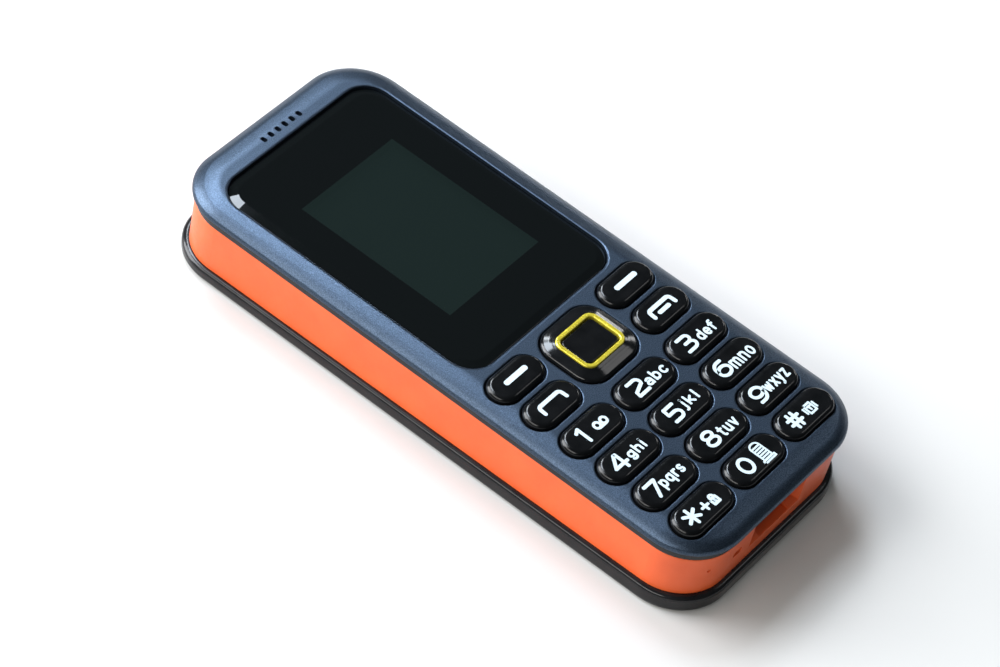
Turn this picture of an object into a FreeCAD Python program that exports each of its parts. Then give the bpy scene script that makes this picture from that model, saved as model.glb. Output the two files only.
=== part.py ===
import FreeCAD, Part
import Sketcher
import math
import os
import re

# A candybar phone that lies on its back, in millimetres. X runs across the phone, Y runs towards
# the earpiece and Z points out of the front. The origin is under the middle of the back.

SIZES = {
    # front cover: a moulded shell whose front edge falls away in a soft crown and shoulder
    "cover_width": 46.74,
    "cover_length": 109.63,
    "cover_corner": 9.9,
    "case_depth": 15.85,
    "cover_edge": 1.85,
    "crown_run": 2.8,
    "crown_drop": 0.4,
    "shoulder_run": 1.2,
    "shoulder_drop": 0.82,
    "crown_blend": 9.0,
    "shoulder_blend": 3.0,
    "edge_blend": 0.6,
    "cover_roof": 1.4,
    "hole_bevel": 0.2,
    "boss_radius": 1.25,
    "pilot_depth": 3.0,
    # black rim of the chassis, seen as a strip under the front cover
    "rim_inset": 0.8,
    "rim_height": 1.93,
    # coloured band round the sides, which leans in towards the back
    "band_inset": 0.72,
    "band_lean": 0.2,
    "band_wall": 1.2,
    "band_edge": 0.2,
    "fit_gap": 0.12,
    # seam between band and back cover, which rises from the earpiece end to the key end
    "seam_ear_end": 2.3,
    "seam_key_end": 3.45,
    "seam_gap": 0.08,
    # back cover: a shallow dish with a proud rim and an inner lip
    "back_side_outset": 0.05,
    "back_end_outset": 0.3,
    "back_floor": 1.2,
    "back_round": 0.9,
    "ledge_round": 0.85,
    "back_gap": 0.2,
    "slide_gap": 0.2,
    "lip_wall": 1.0,
    "lip_top": 4.2,
    "nail_width": 11.0,
    "nail_depth": 1.1,
    "nail_height": 0.9,
    "speaker_slot_length": 9.0,
    "speaker_slot_width": 1.1,
    "speaker_slot_pitch": 2.2,
    # chassis: a tub with a floor, the board above it and the battery below it
    "chassis_wall": 1.2,
    "skirt_wall": 1.0,
    "floor_thickness": 0.9,
    "keypad_relief": 0.6,
    "board_depth": 5.8,
    "board_thickness": 1.0,
    "board_gap": 0.25,
    "part_gap": 0.2,
    # display lens, its tape, the tray that carries it and the display below
    "lens_side_margin": 4.07,
    "lens_length": 54.23,
    "lens_corner": 4.9,
    "lens_end_margin": 6.5,
    "lens_gap": 0.12,
    "lens_sink": 0.1,
    "lens_thickness": 1.25,
    "lens_bevel_run": 1.7,
    "lens_bevel_drop": 0.45,
    "tape_thickness": 0.15,
    "tape_width": 1.6,
    "tray_thickness": 0.9,
    "window_side_margin": 5.8,
    "window_end_margin": 10.5,
    "window_drop": 0.53,
    "display_side_margin": 2.8,
    "display_end_margin": 7.615,
    "display_drop": 2.0,
    "display_wall": 0.8,
    "display_floor": 1.0,
    "display_frame_height": 2.6,
    "panel_thickness": 1.8,
    "gasket_width": 1.6,
    # keys: capsules in three columns, between the lens and the end of the cover
    "key_side_margin": 2.72,
    "column_gap": 0.7,
    "key_end_margin": 4.35,
    "row_gap": 1.04,
    "call_number_gap": 1.43,
    "soft_call_gap": 1.115,
    "lens_key_gap": 1.56,
    "key_gap": 0.15,
    "key_lip": 0.17,
    "lip_thickness": 0.5,
    "key_rise": 0.83,
    "key_round": 0.9,
    "key_travel": 0.35,
    "key_air": 0.05,
    "stem_radius": 1.2,
    "pad_margin": 0.3,
    "pad_corner": 3.7,
    # four-way navigation ring, its yellow trim and the select key in its middle
    "nav_width": 14.9,
    "nav_side_gap": 1.2,
    "nav_end_gap": 0.1,
    "nav_corner": 4.3,
    "nav_rise": 0.92,
    "nav_slope_run": 1.5,
    "nav_slope_drop": 0.5,
    "nav_shoulder": 0.7,
    "nav_brow": 2.0,
    "nav_lip": 0.3,
    "nav_air": 0.36,
    "trim_side_margin": 2.3,
    "trim_end_margin": 2.55,
    "trim_corner": 1.85,
    "trim_band": 0.85,
    "trim_seat": 0.7,
    "trim_rise": 0.3,
    "trim_round": 0.25,
    "select_gap": 0.2,
    "select_rise": 0.9,
    "select_round": 0.25,
    "select_lip": 0.5,
    "boot_wall": 1.4,
    "boot_height": 0.7,
    "nub_radius": 0.8,
    # dome sheet and silicone mat under the keys
    "sheet_thickness": 0.15,
    "dome_radius": 2.1,
    "dome_height": 0.35,
    "dome_top_radius": 1.2,
    "mat_side_gap": 0.36,
    "mat_web": 0.6,
    "mat_wall": 1.0,
    "mat_air": 0.45,
    "stem_gap": 0.25,
    # earpiece holes, earpiece and mesh
    "ear_hole_count": 6,
    "ear_hole_pitch": 1.78,
    "ear_hole_width": 0.9,
    "ear_hole_length": 1.25,
    "ear_end_margin": 4.29,
    "mesh_length": 2.2,
    "mesh_thickness": 0.1,
    "ear_width": 13.0,
    "ear_length": 6.6,
    "ear_setback": 5.65,
    "ear_height": 3.2,
    # key end: charging port in its scoop, strap slot and microphone hole
    "port_width": 7.8,
    "port_height": 2.6,
    "port_length": 5.2,
    "port_wall": 0.35,
    "port_tongue": 0.6,
    "scoop_width": 14.0,
    "scoop_depth": 2.1,
    "scoop_drop": 0.7,
    "scoop_slope": 34.0,
    "port_block_width": 17.6,
    "port_block_wall": 0.85,
    "port_block_drop": 1.8,
    "strap_side_margin": 12.57,
    "strap_drop": 0.6,
    "strap_width": 2.4,
    "strap_height": 1.3,
    "mic_hole_radius": 0.35,
    "mic_hole_margin": 5.97,
    "mic_hole_drop": 0.3,
    "mic_side_margin": 7.77,
    "mic_end_margin": 6.51,
    "mic_radius": 2.0,
    "mic_height": 1.5,
    # earpiece end: headphone jack and torch
    "jack_side_margin": 11.77,
    "jack_drop": 0.6,
    "jack_bore_radius": 1.8,
    "jack_bore_depth": 14.0,
    "jack_nose_radius": 2.6,
    "jack_nose_length": 1.5,
    "jack_body_width": 6.4,
    "jack_body_height": 5.0,
    "jack_end_wall": 0.8,
    "torch_side_margin": 11.37,
    "torch_drop": 0.6,
    "torch_lens_radius": 1.9,
    "torch_lens_length": 1.35,
    "led_radius": 1.5,
    "led_length": 3.4,
    "led_flange_radius": 1.9,
    "led_flange": 0.8,
    # battery and its contacts
    "battery_side_margin": 6.37,
    "rear_length": 52.01,
    "battery_corner": 1.6,
    "battery_round": 0.7,
    "battery_end_margin": 9.01,
    "battery_gap": 0.3,
    "contact_width": 9.0,
    "contact_length": 3.2,
    "contact_height": 3.6,
    "contact_pitch": 3.0,
    "bay_rib": 1.2,
    # card sockets on the underside of the board
    "socket_height": 1.5,
    "sim_width": 15.0,
    "sim_length": 17.0,
    "sim_middle_gap": 0.7,
    "sim_end_margin": 43.01,
    "card_width": 14.0,
    "card_length": 14.0,
    "card_end_margin": 21.01,
    "socket_lip": 0.3,
    "socket_mouth": 0.8,
    # parts in the rear bay
    "speaker_width": 18.0,
    "speaker_length": 13.0,
    "speaker_height": 3.6,
    "speaker_x": 6.0,
    "speaker_end_gap": 7.0,
    "speaker_corner": 2.5,
    "motor_radius": 5.0,
    "motor_height": 2.7,
    "motor_side_margin": 12.37,
    "motor_end_gap": 6.5,
    "antenna_side_margin": 6.37,
    "antenna_length": 10.0,
    "antenna_end_margin": 21.01,
    "antenna_height": 3.8,
    "antenna_wall": 1.2,
    "can_width": 20.0,
    "can_length": 14.0,
    "can_height": 1.5,
    "can_x": -6.0,
    "can_end_margin": 24.01,
    # case screws
    "screw_radius": 0.6,
    "screw_hole_radius": 0.85,
    "screw_head_radius": 1.2,
    "screw_head_height": 0.7,
    "screw_well_radius": 1.45,
    "screw_pillar_radius": 1.8,
    "screw_side_margin": 5.17,
    "screw_drop": 13.0,
    "screw_corner_margin": 6.77,
    "screw_end_margin": 6.81,
}

FACE = "case_depth"
COVER_BASE = "(case_depth - cover_edge)"
ROOF = "(case_depth - cover_roof)"
BAND_TOP = f"({COVER_BASE} - rim_height)"
BOARD_TOP = "(case_depth - board_depth)"
BOARD_BASE = f"({BOARD_TOP} - board_thickness)"
FLOOR_TOP = f"({BOARD_BASE} - socket_room)"
FLOOR_BASE = f"({FLOOR_TOP} - floor_thickness)"
BAY_BASE = "(back_floor + back_gap)"
TUB_BASE = "(lip_top + part_gap)"
LENS_SEAT = "(case_depth - lens_sink - lens_thickness - tape_thickness)"
TRAY_BASE = f"({LENS_SEAT} - tray_thickness)"
LIP_BASE = f"({ROOF} - lip_thickness)"
SHEET_TOP = f"({BOARD_TOP} + sheet_thickness)"
STEM_BASE = f"({SHEET_TOP} + dome_height + key_travel + key_air)"
MAT_TOP = f"({LIP_BASE} - key_travel - mat_air)"
NAV_LIP_BASE = f"({ROOF} - nav_air - lip_thickness)"
SELECT_LIP_TOP = f"({NAV_LIP_BASE} - nav_air)"
BOOT_TOP = SELECT_LIP_TOP

BAND_INNER = "(band_inset + band_lean + band_wall)"
TUB_OUTER = f"({BAND_INNER} + fit_gap)"
BOARD_BAY = f"({TUB_OUTER} + chassis_wall)"
LIP_OUTER = f"({BAND_INNER} + slide_gap)"
LIP_INNER = f"({LIP_OUTER} + lip_wall)"
SKIRT_OUTER = f"({LIP_INNER} + slide_gap)"
SKIRT_INNER = f"({SKIRT_OUTER} + skirt_wall)"

PAD_TOP = "(soft_y + key_hole_width / 2 + key_lip + pad_margin)"
PAD_BOTTOM = "(first_row_y - 3 * row_pitch - key_hole_width / 2 - key_lip - pad_margin)"
PAD_LENGTH = f"({PAD_TOP} - {PAD_BOTTOM})"
PAD_Y = f"(({PAD_TOP} + {PAD_BOTTOM}) / 2)"
PAD_WIDTH = "(2 * column_pitch + number_hole_length + 2 * key_lip + 2 * pad_margin)"
MAT_CORNER = f"(cover_corner - {BOARD_BAY} - board_gap)"
BATTERY_TOP = "(battery_y + battery_length / 2)"
REAR_BAY_BASE = f"({BATTERY_TOP} + battery_gap + bay_rib)"
KEY_END = "(-cover_length / 2)"
EAR_END = "(cover_length / 2)"
KEY_ROOM = "(lens_y - lens_length / 2 + cover_length / 2 - key_end_margin)"
KEY_GAPS = "(lens_key_gap + soft_call_gap + call_number_gap + 3 * row_gap)"
PORT_MOUTH = f"({KEY_END} + band_inset + scoop_depth)"
PORT_Z = f"({BOARD_BASE} - port_height / 2)"
JACK_MOUTH = f"({EAR_END} - {TUB_OUTER} + jack_nose_length)"
TORCH_LENS_BASE = f"({EAR_END} - {BAND_INNER} + fit_gap)"

SCREWS = [
    (f"{side} * {x}", y)
    for x, y in (("screw_side_x", "screw_side_y"), ("screw_end_x", "screw_end_y"))
    for side in (-1, 1)
]
NUMBER_KEYS = [
    ["key_1", "key_2", "key_3"],
    ["key_4", "key_5", "key_6"],
    ["key_7", "key_8", "key_9"],
    ["key_star", "key_0", "key_hash"],
]
UPPER_KEYS = {
    "soft_key_left": ("-upper_x", "soft_y"),
    "soft_key_right": ("upper_x", "soft_y"),
    "call_key": ("-upper_x", "call_y"),
    "end_key": ("upper_x", "call_y"),
}

# sizes and places that follow from the sizes above
FOLLOWING = {
    "lens_width": "cover_width - 2 * lens_side_margin",
    "lens_y": "cover_length / 2 - lens_end_margin - lens_length / 2",
    "window_width": "lens_width - 2 * window_side_margin",
    "window_length": "lens_length - 2 * window_end_margin",
    "window_y": "lens_y - window_drop",
    "display_width": "lens_width - 2 * display_side_margin",
    "display_length": "lens_length - 2 * display_end_margin",
    "display_y": "lens_y - display_drop",
    "key_hole_width": f"({KEY_ROOM} - {KEY_GAPS}) / 6",
    "number_hole_length": "(cover_width - 2 * key_side_margin - 2 * column_gap) / 3",
    "upper_hole_length": "(cover_width - 2 * key_side_margin - nav_width - 2 * nav_side_gap) / 2",
    "column_pitch": "number_hole_length + column_gap",
    "row_pitch": "key_hole_width + row_gap",
    "soft_y": "lens_y - lens_length / 2 - lens_key_gap - key_hole_width / 2",
    "call_y": "soft_y - key_hole_width - soft_call_gap",
    "first_row_y": "call_y - key_hole_width - call_number_gap",
    "upper_x": "cover_width / 2 - key_side_margin - upper_hole_length / 2",
    "nav_y": "(soft_y + call_y) / 2",
    "nav_length": "2 * key_hole_width + soft_call_gap - 2 * nav_end_gap",
    "trim_width": "nav_width - 2 * trim_side_margin",
    "trim_length": "nav_length - 2 * trim_end_margin",
    "mat_width": f"cover_width - 2 * {BOARD_BAY} - 2 * mat_side_gap",
    "ear_y": "cover_length / 2 - ear_end_margin",
    "ear_speaker_y": "ear_y - ear_setback",
    "socket_room": "socket_height + part_gap",
    "scoop_base": f"{FLOOR_BASE} - scoop_drop",
    "port_block_base": f"{FLOOR_BASE} - port_block_drop",
    "strap_x": "strap_side_margin - cover_width / 2",
    "strap_z": f"{BOARD_BASE} - strap_drop",
    "mic_hole_x": "mic_hole_margin - cover_width / 2",
    "mic_hole_z": f"{BOARD_BASE} - mic_hole_drop",
    "mic_x": "mic_side_margin - cover_width / 2",
    "mic_y": "mic_end_margin - cover_length / 2",
    "jack_x": "cover_width / 2 - jack_side_margin",
    "jack_z": f"{BOARD_BASE} - jack_drop",
    "torch_x": "torch_side_margin - cover_width / 2",
    "torch_z": f"{BOARD_BASE} - torch_drop",
    "battery_width": "cover_width - 2 * battery_side_margin",
    "battery_length": "cover_length - battery_end_margin - rear_length",
    "battery_depth": f"{FLOOR_BASE} - {BAY_BASE} - part_gap",
    "battery_y": "battery_length / 2 + battery_end_margin - cover_length / 2",
    "sim_x": "sim_width / 2 + sim_middle_gap",
    "sim_y": "sim_end_margin - cover_length / 2",
    "card_y": "card_end_margin - cover_length / 2",
    "speaker_y": f"{REAR_BAY_BASE} + speaker_length / 2 + speaker_end_gap",
    "motor_x": "motor_side_margin - cover_width / 2",
    "motor_y": f"{REAR_BAY_BASE} + motor_radius + motor_end_gap",
    "antenna_width": "cover_width - 2 * antenna_side_margin",
    "antenna_y": "cover_length / 2 - antenna_end_margin",
    "can_y": "cover_length / 2 - can_end_margin",
    "screw_side_x": "cover_width / 2 - screw_side_margin",
    "screw_side_y": "lens_y - screw_drop",
    "screw_end_x": "cover_width / 2 - screw_corner_margin",
    "screw_end_y": "cover_length / 2 - screw_end_margin",
}

os.makedirs("parts", exist_ok=True)
doc = FreeCAD.newDocument("candybar_phone")
sheet = doc.addObject("Spreadsheet::Sheet", "Sizes")
cells = {name: str(size) for name, size in SIZES.items()}
cells.update({name: f"={text}" for name, text in FOLLOWING.items()})
for row, (name, content) in enumerate(cells.items(), 1):
    sheet.set(f"A{row}", name)
    sheet.setAlias(f"B{row}", name)
    sheet.set(f"B{row}", content)
doc.recompute()
subparts = {}


# ---------------------------------------------------------------- expressions and sketches

def linked(text):
    """Point every size that an expression names at its cell in the spreadsheet."""
    def cell(word):
        return f"Sizes.{word[0]}" if word[0] in cells else word[0]
    return re.sub(r"[a-z][a-z_0-9]*", cell, text)


def value(text):
    """The number that an expression of sizes comes to now."""
    return float(sheet.evalExpression(text))


def bind(item, **properties):
    """Bind properties of an object to expressions of sizes."""
    for name, text in properties.items():
        item.setExpression(name.replace("__", "."), linked(text))


def keep(name, item):
    """Count an object as a sub-part under its own name."""
    item.Label = name
    subparts[name] = item
    return item


def new_body(name):
    return keep(name, doc.addObject("PartDesign::Body", name))


def sketch_on(body, name, height, x="0", y="0", role="XY_Plane"):
    """A sketch on one of the body's origin planes, moved along the plane's normal and in it."""
    plane = next(item for item in body.Origin.OriginFeatures if item.Role == role)
    sketch = body.newObject("Sketcher::SketchObject", f"{body.Name}_{name}")
    sketch.AttachmentSupport = [(plane, "")]
    sketch.MapMode = "FlatFace"
    bind(sketch, AttachmentOffset__Base__x=x, AttachmentOffset__Base__y=y)
    bind(sketch, AttachmentOffset__Base__z=height)
    return sketch


def constrain(sketch, kind, *where, size=None):
    """Add a constraint, and bind it to a size where one is given."""
    if size is None:
        sketch.addConstraint(Sketcher.Constraint(kind, *where))
        return
    number = sketch.addConstraint(Sketcher.Constraint(kind, *where, value(size)))
    sketch.setExpression(f"Constraints[{number}]", linked(size))


def arc(x, y, radius, start, end):
    circle = Part.Circle(FreeCAD.Vector(x, y, 0), FreeCAD.Vector(0, 0, 1), radius)
    return Part.ArcOfCircle(circle, math.radians(start), math.radians(end))


def segment(start, end):
    return Part.LineSegment(FreeCAD.Vector(*start, 0), FreeCAD.Vector(*end, 0))


def rounded_rectangle(sketch, width, length, radius):
    """A rectangle with round corners about the sketch's origin."""
    corner = value(radius)
    across = value(width) / 2 - corner
    along = value(length) / 2 - corner
    first = sketch.GeometryCount
    centres = [(across, along), (-across, along), (-across, -along), (across, -along)]
    for turn, (x, y) in enumerate(centres):
        sketch.addGeometry(arc(x, y, corner, 90 * turn, 90 * turn + 90))
    for turn in range(4):
        this = sketch.Geometry[first + turn].EndPoint
        following = sketch.Geometry[first + (turn + 1) % 4].StartPoint
        sketch.addGeometry(segment((this.x, this.y), (following.x, following.y)))
    for turn in range(4):
        constrain(sketch, "Tangent", first + turn, 2, first + turn + 4, 1)
        constrain(sketch, "Tangent", first + turn + 4, 2, first + (turn + 1) % 4, 1)
        constrain(sketch, "Vertical" if turn % 2 else "Horizontal", first + turn + 4)
    for turn in range(1, 4):
        constrain(sketch, "Equal", first, first + turn)
    constrain(sketch, "Radius", first, size=radius)
    constrain(sketch, "Symmetric", first, 3, first + 2, 3, -1, 1)
    constrain(sketch, "DistanceX", first + 2, 3, first, 3, size=f"{width} - 2 * ({radius})")
    constrain(sketch, "DistanceY", first + 2, 3, first, 3, size=f"{length} - 2 * ({radius})")
    return sketch


def outline(sketch, inset):
    """The case's own outline, moved in by an inset."""
    width = f"(cover_width - 2 * {inset})"
    length = f"(cover_length - 2 * {inset})"
    return rounded_rectangle(sketch, width, length, f"(cover_corner - {inset})")


def place(sketch, item, point, x, y):
    """Fix a point of the sketch's geometry at two distances from the origin."""
    constrain(sketch, "DistanceX", -1, 1, item, point, size=x)
    constrain(sketch, "DistanceY", -1, 1, item, point, size=y)


def capsule(sketch, length, width, x="0", y="0"):
    """Two half circles joined by straight sides along X."""
    radius = value(width) / 2
    half = value(length) / 2 - radius
    across, along = value(x), value(y)
    first = sketch.GeometryCount
    sketch.addGeometry(arc(across + half, along, radius, -90, 90))
    sketch.addGeometry(arc(across - half, along, radius, 90, 270))
    sketch.addGeometry(segment((across + half, along + radius), (across - half, along + radius)))
    sketch.addGeometry(segment((across - half, along - radius), (across + half, along - radius)))
    for start, end in ((0, 2), (2, 1), (1, 3), (3, 0)):
        constrain(sketch, "Tangent", first + start, 2, first + end, 1)
    constrain(sketch, "Horizontal", first + 2)
    constrain(sketch, "Radius", first, size=f"({width}) / 2")
    constrain(sketch, "DistanceX", first + 1, 3, first, 3, size=f"{length} - ({width})")
    place(sketch, first, 3, f"{x} + ({length} - ({width})) / 2", y)
    return sketch


def circles(sketch, places, radius):
    """Equal circles about the places."""
    first = sketch.GeometryCount
    for number, (x, y) in enumerate(places):
        centre = FreeCAD.Vector(value(x), value(y), 0)
        sketch.addGeometry(Part.Circle(centre, FreeCAD.Vector(0, 0, 1), value(radius)))
        place(sketch, first + number, 3, x, y)
        if number:
            constrain(sketch, "Equal", first, first + number)
    constrain(sketch, "Radius", first, size=radius)
    return sketch


def circle(sketch, radius):
    return circles(sketch, [("0", "0")], radius)


def rectangle(sketch, width, length, x="0", y="0"):
    """A sharp rectangle."""
    right, back = f"{x} + ({width}) / 2", f"{y} + ({length}) / 2"
    left, front = f"{x} - ({width}) / 2", f"{y} - ({length}) / 2"
    return polygon(sketch, [(left, front), (right, front), (right, back), (left, back)])


def polygon(sketch, corners):
    """A closed outline through corners that are pairs of expressions from the sketch's origin."""
    points = [(value(x), value(y)) for x, y in corners]
    first = sketch.GeometryCount
    for number, point in enumerate(points):
        sketch.addGeometry(segment(point, points[(number + 1) % len(points)]))
    for number in range(len(points)):
        constrain(sketch, "Coincident", first + number, 2, first + (number + 1) % len(points), 1)
    for number, (x, y) in enumerate(corners):
        place(sketch, first + number, 1, x, y)
    return sketch


def pad(body, sketch, length, lean=None, down=False):
    """Extrude a sketch along its normal, or against it, with sides that may lean in."""
    feature = body.newObject("PartDesign::Pad", f"{sketch.Name}_pad")
    feature.Profile = sketch
    feature.Reversed = down
    bind(feature, Length=length)
    if lean:
        bind(feature, TaperAngle=f"-atan({lean} / ({length}))")
    return feature


def pocket(body, sketch, length, up=False, slope=None):
    """Cut a sketch into the body against its normal, or along it."""
    feature = body.newObject("PartDesign::Pocket", f"{sketch.Name}_pocket")
    feature.Profile = sketch
    feature.Reversed = up
    bind(feature, Length=length)
    if slope:
        bind(feature, TaperAngle=f"-{slope}")
    return feature


def edges_at(feature, test):
    """Names of the feature's edges whose vertices all pass a test."""
    doc.recompute()
    return [
        f"Edge{number}"
        for number, edge in enumerate(feature.Shape.Edges, 1)
        if all(test(vertex.Point) for vertex in edge.Vertexes)
    ]


def level(height):
    """A test for points at one height."""
    target = value(height)
    return lambda point: abs(point.z - target) < 1e-4


def fillet(body, name, radius, test):
    """Round the edges that pass a test."""
    feature = body.Tip
    names = edges_at(feature, test)
    rounding = body.newObject("PartDesign::Fillet", f"{body.Name}_{name}")
    rounding.Base = (feature, names)
    bind(rounding, Radius=radius)
    doc.recompute()
    return rounding


def bevel(body, name, size, test):
    """Chamfer the edges that pass a test."""
    feature = body.Tip
    names = edges_at(feature, test)
    chamfer = body.newObject("PartDesign::Chamfer", f"{body.Name}_{name}")
    chamfer.Base = (feature, names)
    bind(chamfer, Size=size)
    doc.recompute()
    return chamfer


def repeat(body, feature, sketch, across, columns, along="", rows=1):
    """Repeat a feature across a sketch's X axis and, where rows are given, back along its Y axis."""
    pattern = body.newObject("PartDesign::LinearPattern", f"{feature.Name}_pattern")
    pattern.Originals = [feature]
    pattern.Direction = (sketch, ["H_Axis"])
    pattern.Mode = "Spacing"
    bind(pattern, Offset=across, Occurrences=columns)
    if rows > 1:
        pattern.Direction2 = (sketch, ["V_Axis"])
        pattern.Reversed2 = True
        pattern.Mode2 = "Extent"
        pattern.Occurrences2 = rows
        bind(pattern, Length2=f"{rows - 1} * {along}")
    body.Tip = pattern
    doc.recompute()
    return pattern


def block(name, x, y, z, width, length, height):
    """A plain box centred on x and y, standing on z."""
    box = doc.addObject("Part::Box", name)
    bind(box, Length=width, Width=length, Height=height)
    bind(box, Placement__Base__x=f"{x} - ({width}) / 2", Placement__Base__z=z)
    bind(box, Placement__Base__y=f"{y} - ({length}) / 2")
    return box


def drum(name, x, y, z, radius, height):
    """A plain cylinder about x and y, standing on z."""
    cylinder = doc.addObject("Part::Cylinder", name)
    bind(cylinder, Radius=radius, Height=height)
    bind(cylinder, Placement__Base__x=x, Placement__Base__y=y, Placement__Base__z=z)
    return cylinder


def seam(y, lift="0"):
    """Height of the sloping seam between band and back cover at a place along the phone."""
    rise = f"(seam_key_end - seam_ear_end) * (0.5 - ({y}) / cover_length)"
    return f"(seam_ear_end + {rise} + {lift})"


def cut_at_seam(body, name, side, lift):
    """Cut away all of a body that lies above or below the seam."""
    reach = "(cover_length / 2 + 2)"
    far = "-1" if side == "below" else "(case_depth + 1)"
    corners = [(f"-{reach}", far), (reach, far), (reach, seam(reach, lift))]
    corners.append((f"-{reach}", seam(f"-{reach}", lift)))
    sketch = sketch_on(body, name, "cover_width", role="YZ_Plane")
    polygon(sketch, corners)
    pocket(body, sketch, "2 * cover_width")


def cut_scoop(body):
    """Cut the sloping scoop in front of the charging port into a body."""
    height = "(case_depth - scoop_base + scoop_depth)"
    middle = f"(scoop_base + {height} / 2)"
    sketch = sketch_on(body, "scoop", "cover_length / 2", y=middle, role="XZ_Plane")
    rectangle(sketch, "(scoop_width + 2 * band_inset * tan(scoop_slope))", height)
    pocket(body, sketch, "(band_inset + scoop_depth)", slope="scoop_slope")


def cut_end_hole(body, name, x, z, radius, depth, ear_end=False):
    """Drill a round hole along Y from one end of the case."""
    reach = "-cover_length / 2" if ear_end else "cover_length / 2"
    sketch = sketch_on(body, name, reach, x=x, y=z, role="XZ_Plane")
    circle(sketch, radius)
    pocket(body, sketch, depth, up=ear_end)


# ---------------------------------------------------------------- front cover

def front_cover():
    """Moulded shell with soft edges, a sunk lens seat, capsule key holes and screw bosses."""
    body = new_body("front_cover")
    edge = outline(sketch_on(body, "edge", COVER_BASE), "0")
    pad(body, edge, "cover_edge - crown_drop - shoulder_drop")
    shoulder = outline(sketch_on(body, "shoulder", f"{FACE} - crown_drop - shoulder_drop"), "0")
    pad(body, shoulder, "shoulder_drop", lean="shoulder_run")
    crown = outline(sketch_on(body, "crown", f"{FACE} - crown_drop"), "shoulder_run")
    pad(body, crown, "crown_drop", lean="crown_run")
    fillet(body, "crown_blend", "crown_blend", level(FACE))
    fillet(body, "shoulder_blend", "shoulder_blend", level(f"{FACE} - crown_drop"))
    fillet(body, "edge_blend", "edge_blend", level(f"{FACE} - crown_drop - shoulder_drop"))

    keypad = sketch_on(body, "keypad_cavity", COVER_BASE, y=PAD_Y)
    rounded_rectangle(keypad, PAD_WIDTH, PAD_LENGTH, "pad_corner")
    pocket(body, keypad, f"{ROOF} - {COVER_BASE}", up=True)

    tray = sketch_on(body, "tray", TRAY_BASE, y="lens_y")
    rounded_rectangle(tray, f"(cover_width - 2 * {BOARD_BAY} - 2 * part_gap)", "lens_length", "lens_corner")
    pad(body, tray, f"{COVER_BASE} - {TRAY_BASE} + tape_thickness")
    boss = circles(sketch_on(body, "bosses", f"{BOARD_TOP} + key_air"), SCREWS, "boss_radius")
    pad(body, boss, f"{COVER_BASE} - {BOARD_TOP} + key_air")
    pilot = circles(sketch_on(body, "pilots", f"{BOARD_TOP} + key_air"), SCREWS, "screw_radius")
    pocket(body, pilot, "pilot_depth", up=True)

    seat = sketch_on(body, "lens_seat", FACE, y="lens_y")
    rounded_rectangle(seat, "lens_width", "lens_length", "lens_corner")
    pocket(body, seat, f"{FACE} - {LENS_SEAT}")
    window = sketch_on(body, "window", LENS_SEAT, y="window_y")
    rectangle(window, "window_width", "window_length")
    pocket(body, window, "2 * tray_thickness")

    hole = sketch_on(body, "number_hole", FACE, x="-column_pitch", y="first_row_y")
    capsule(hole, "number_hole_length", "key_hole_width")
    first = pocket(body, hole, "2 * cover_roof")
    repeat(body, first, hole, "column_pitch", "3", along="row_pitch", rows=4)
    holes = sketch_on(body, "upper_holes", FACE, y="nav_y")
    rounded_rectangle(holes, "nav_width", "nav_length", "nav_corner")
    for x, y in UPPER_KEYS.values():
        capsule(holes, "upper_hole_length", "key_hole_width", x, f"{y} - nav_y")
    pocket(body, holes, "2 * cover_roof")

    first_x = "-(ear_hole_count - 1) / 2 * ear_hole_pitch"
    ear = sketch_on(body, "ear_hole", FACE, x=first_x, y="ear_y")
    rounded_rectangle(ear, "ear_hole_width", "ear_hole_length", "(0.4 * ear_hole_width)")
    slot = pocket(body, ear, "2 * cover_edge")
    channel = sketch_on(body, "ear_channel", COVER_BASE, y="ear_y - mesh_length / 4")
    rectangle(channel, "ear_width", "1.5 * mesh_length")
    repeat(body, slot, ear, "ear_hole_pitch", "ear_hole_count")
    pocket(body, channel, f"{ROOF} - {COVER_BASE}", up=True)

    pad_top = value(PAD_TOP)
    face = value(FACE)
    bevel(body, "key_bevel", "hole_bevel", lambda point: abs(point.z - face) < 1e-4 and point.y < pad_top)


# ---------------------------------------------------------------- lens and display

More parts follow.
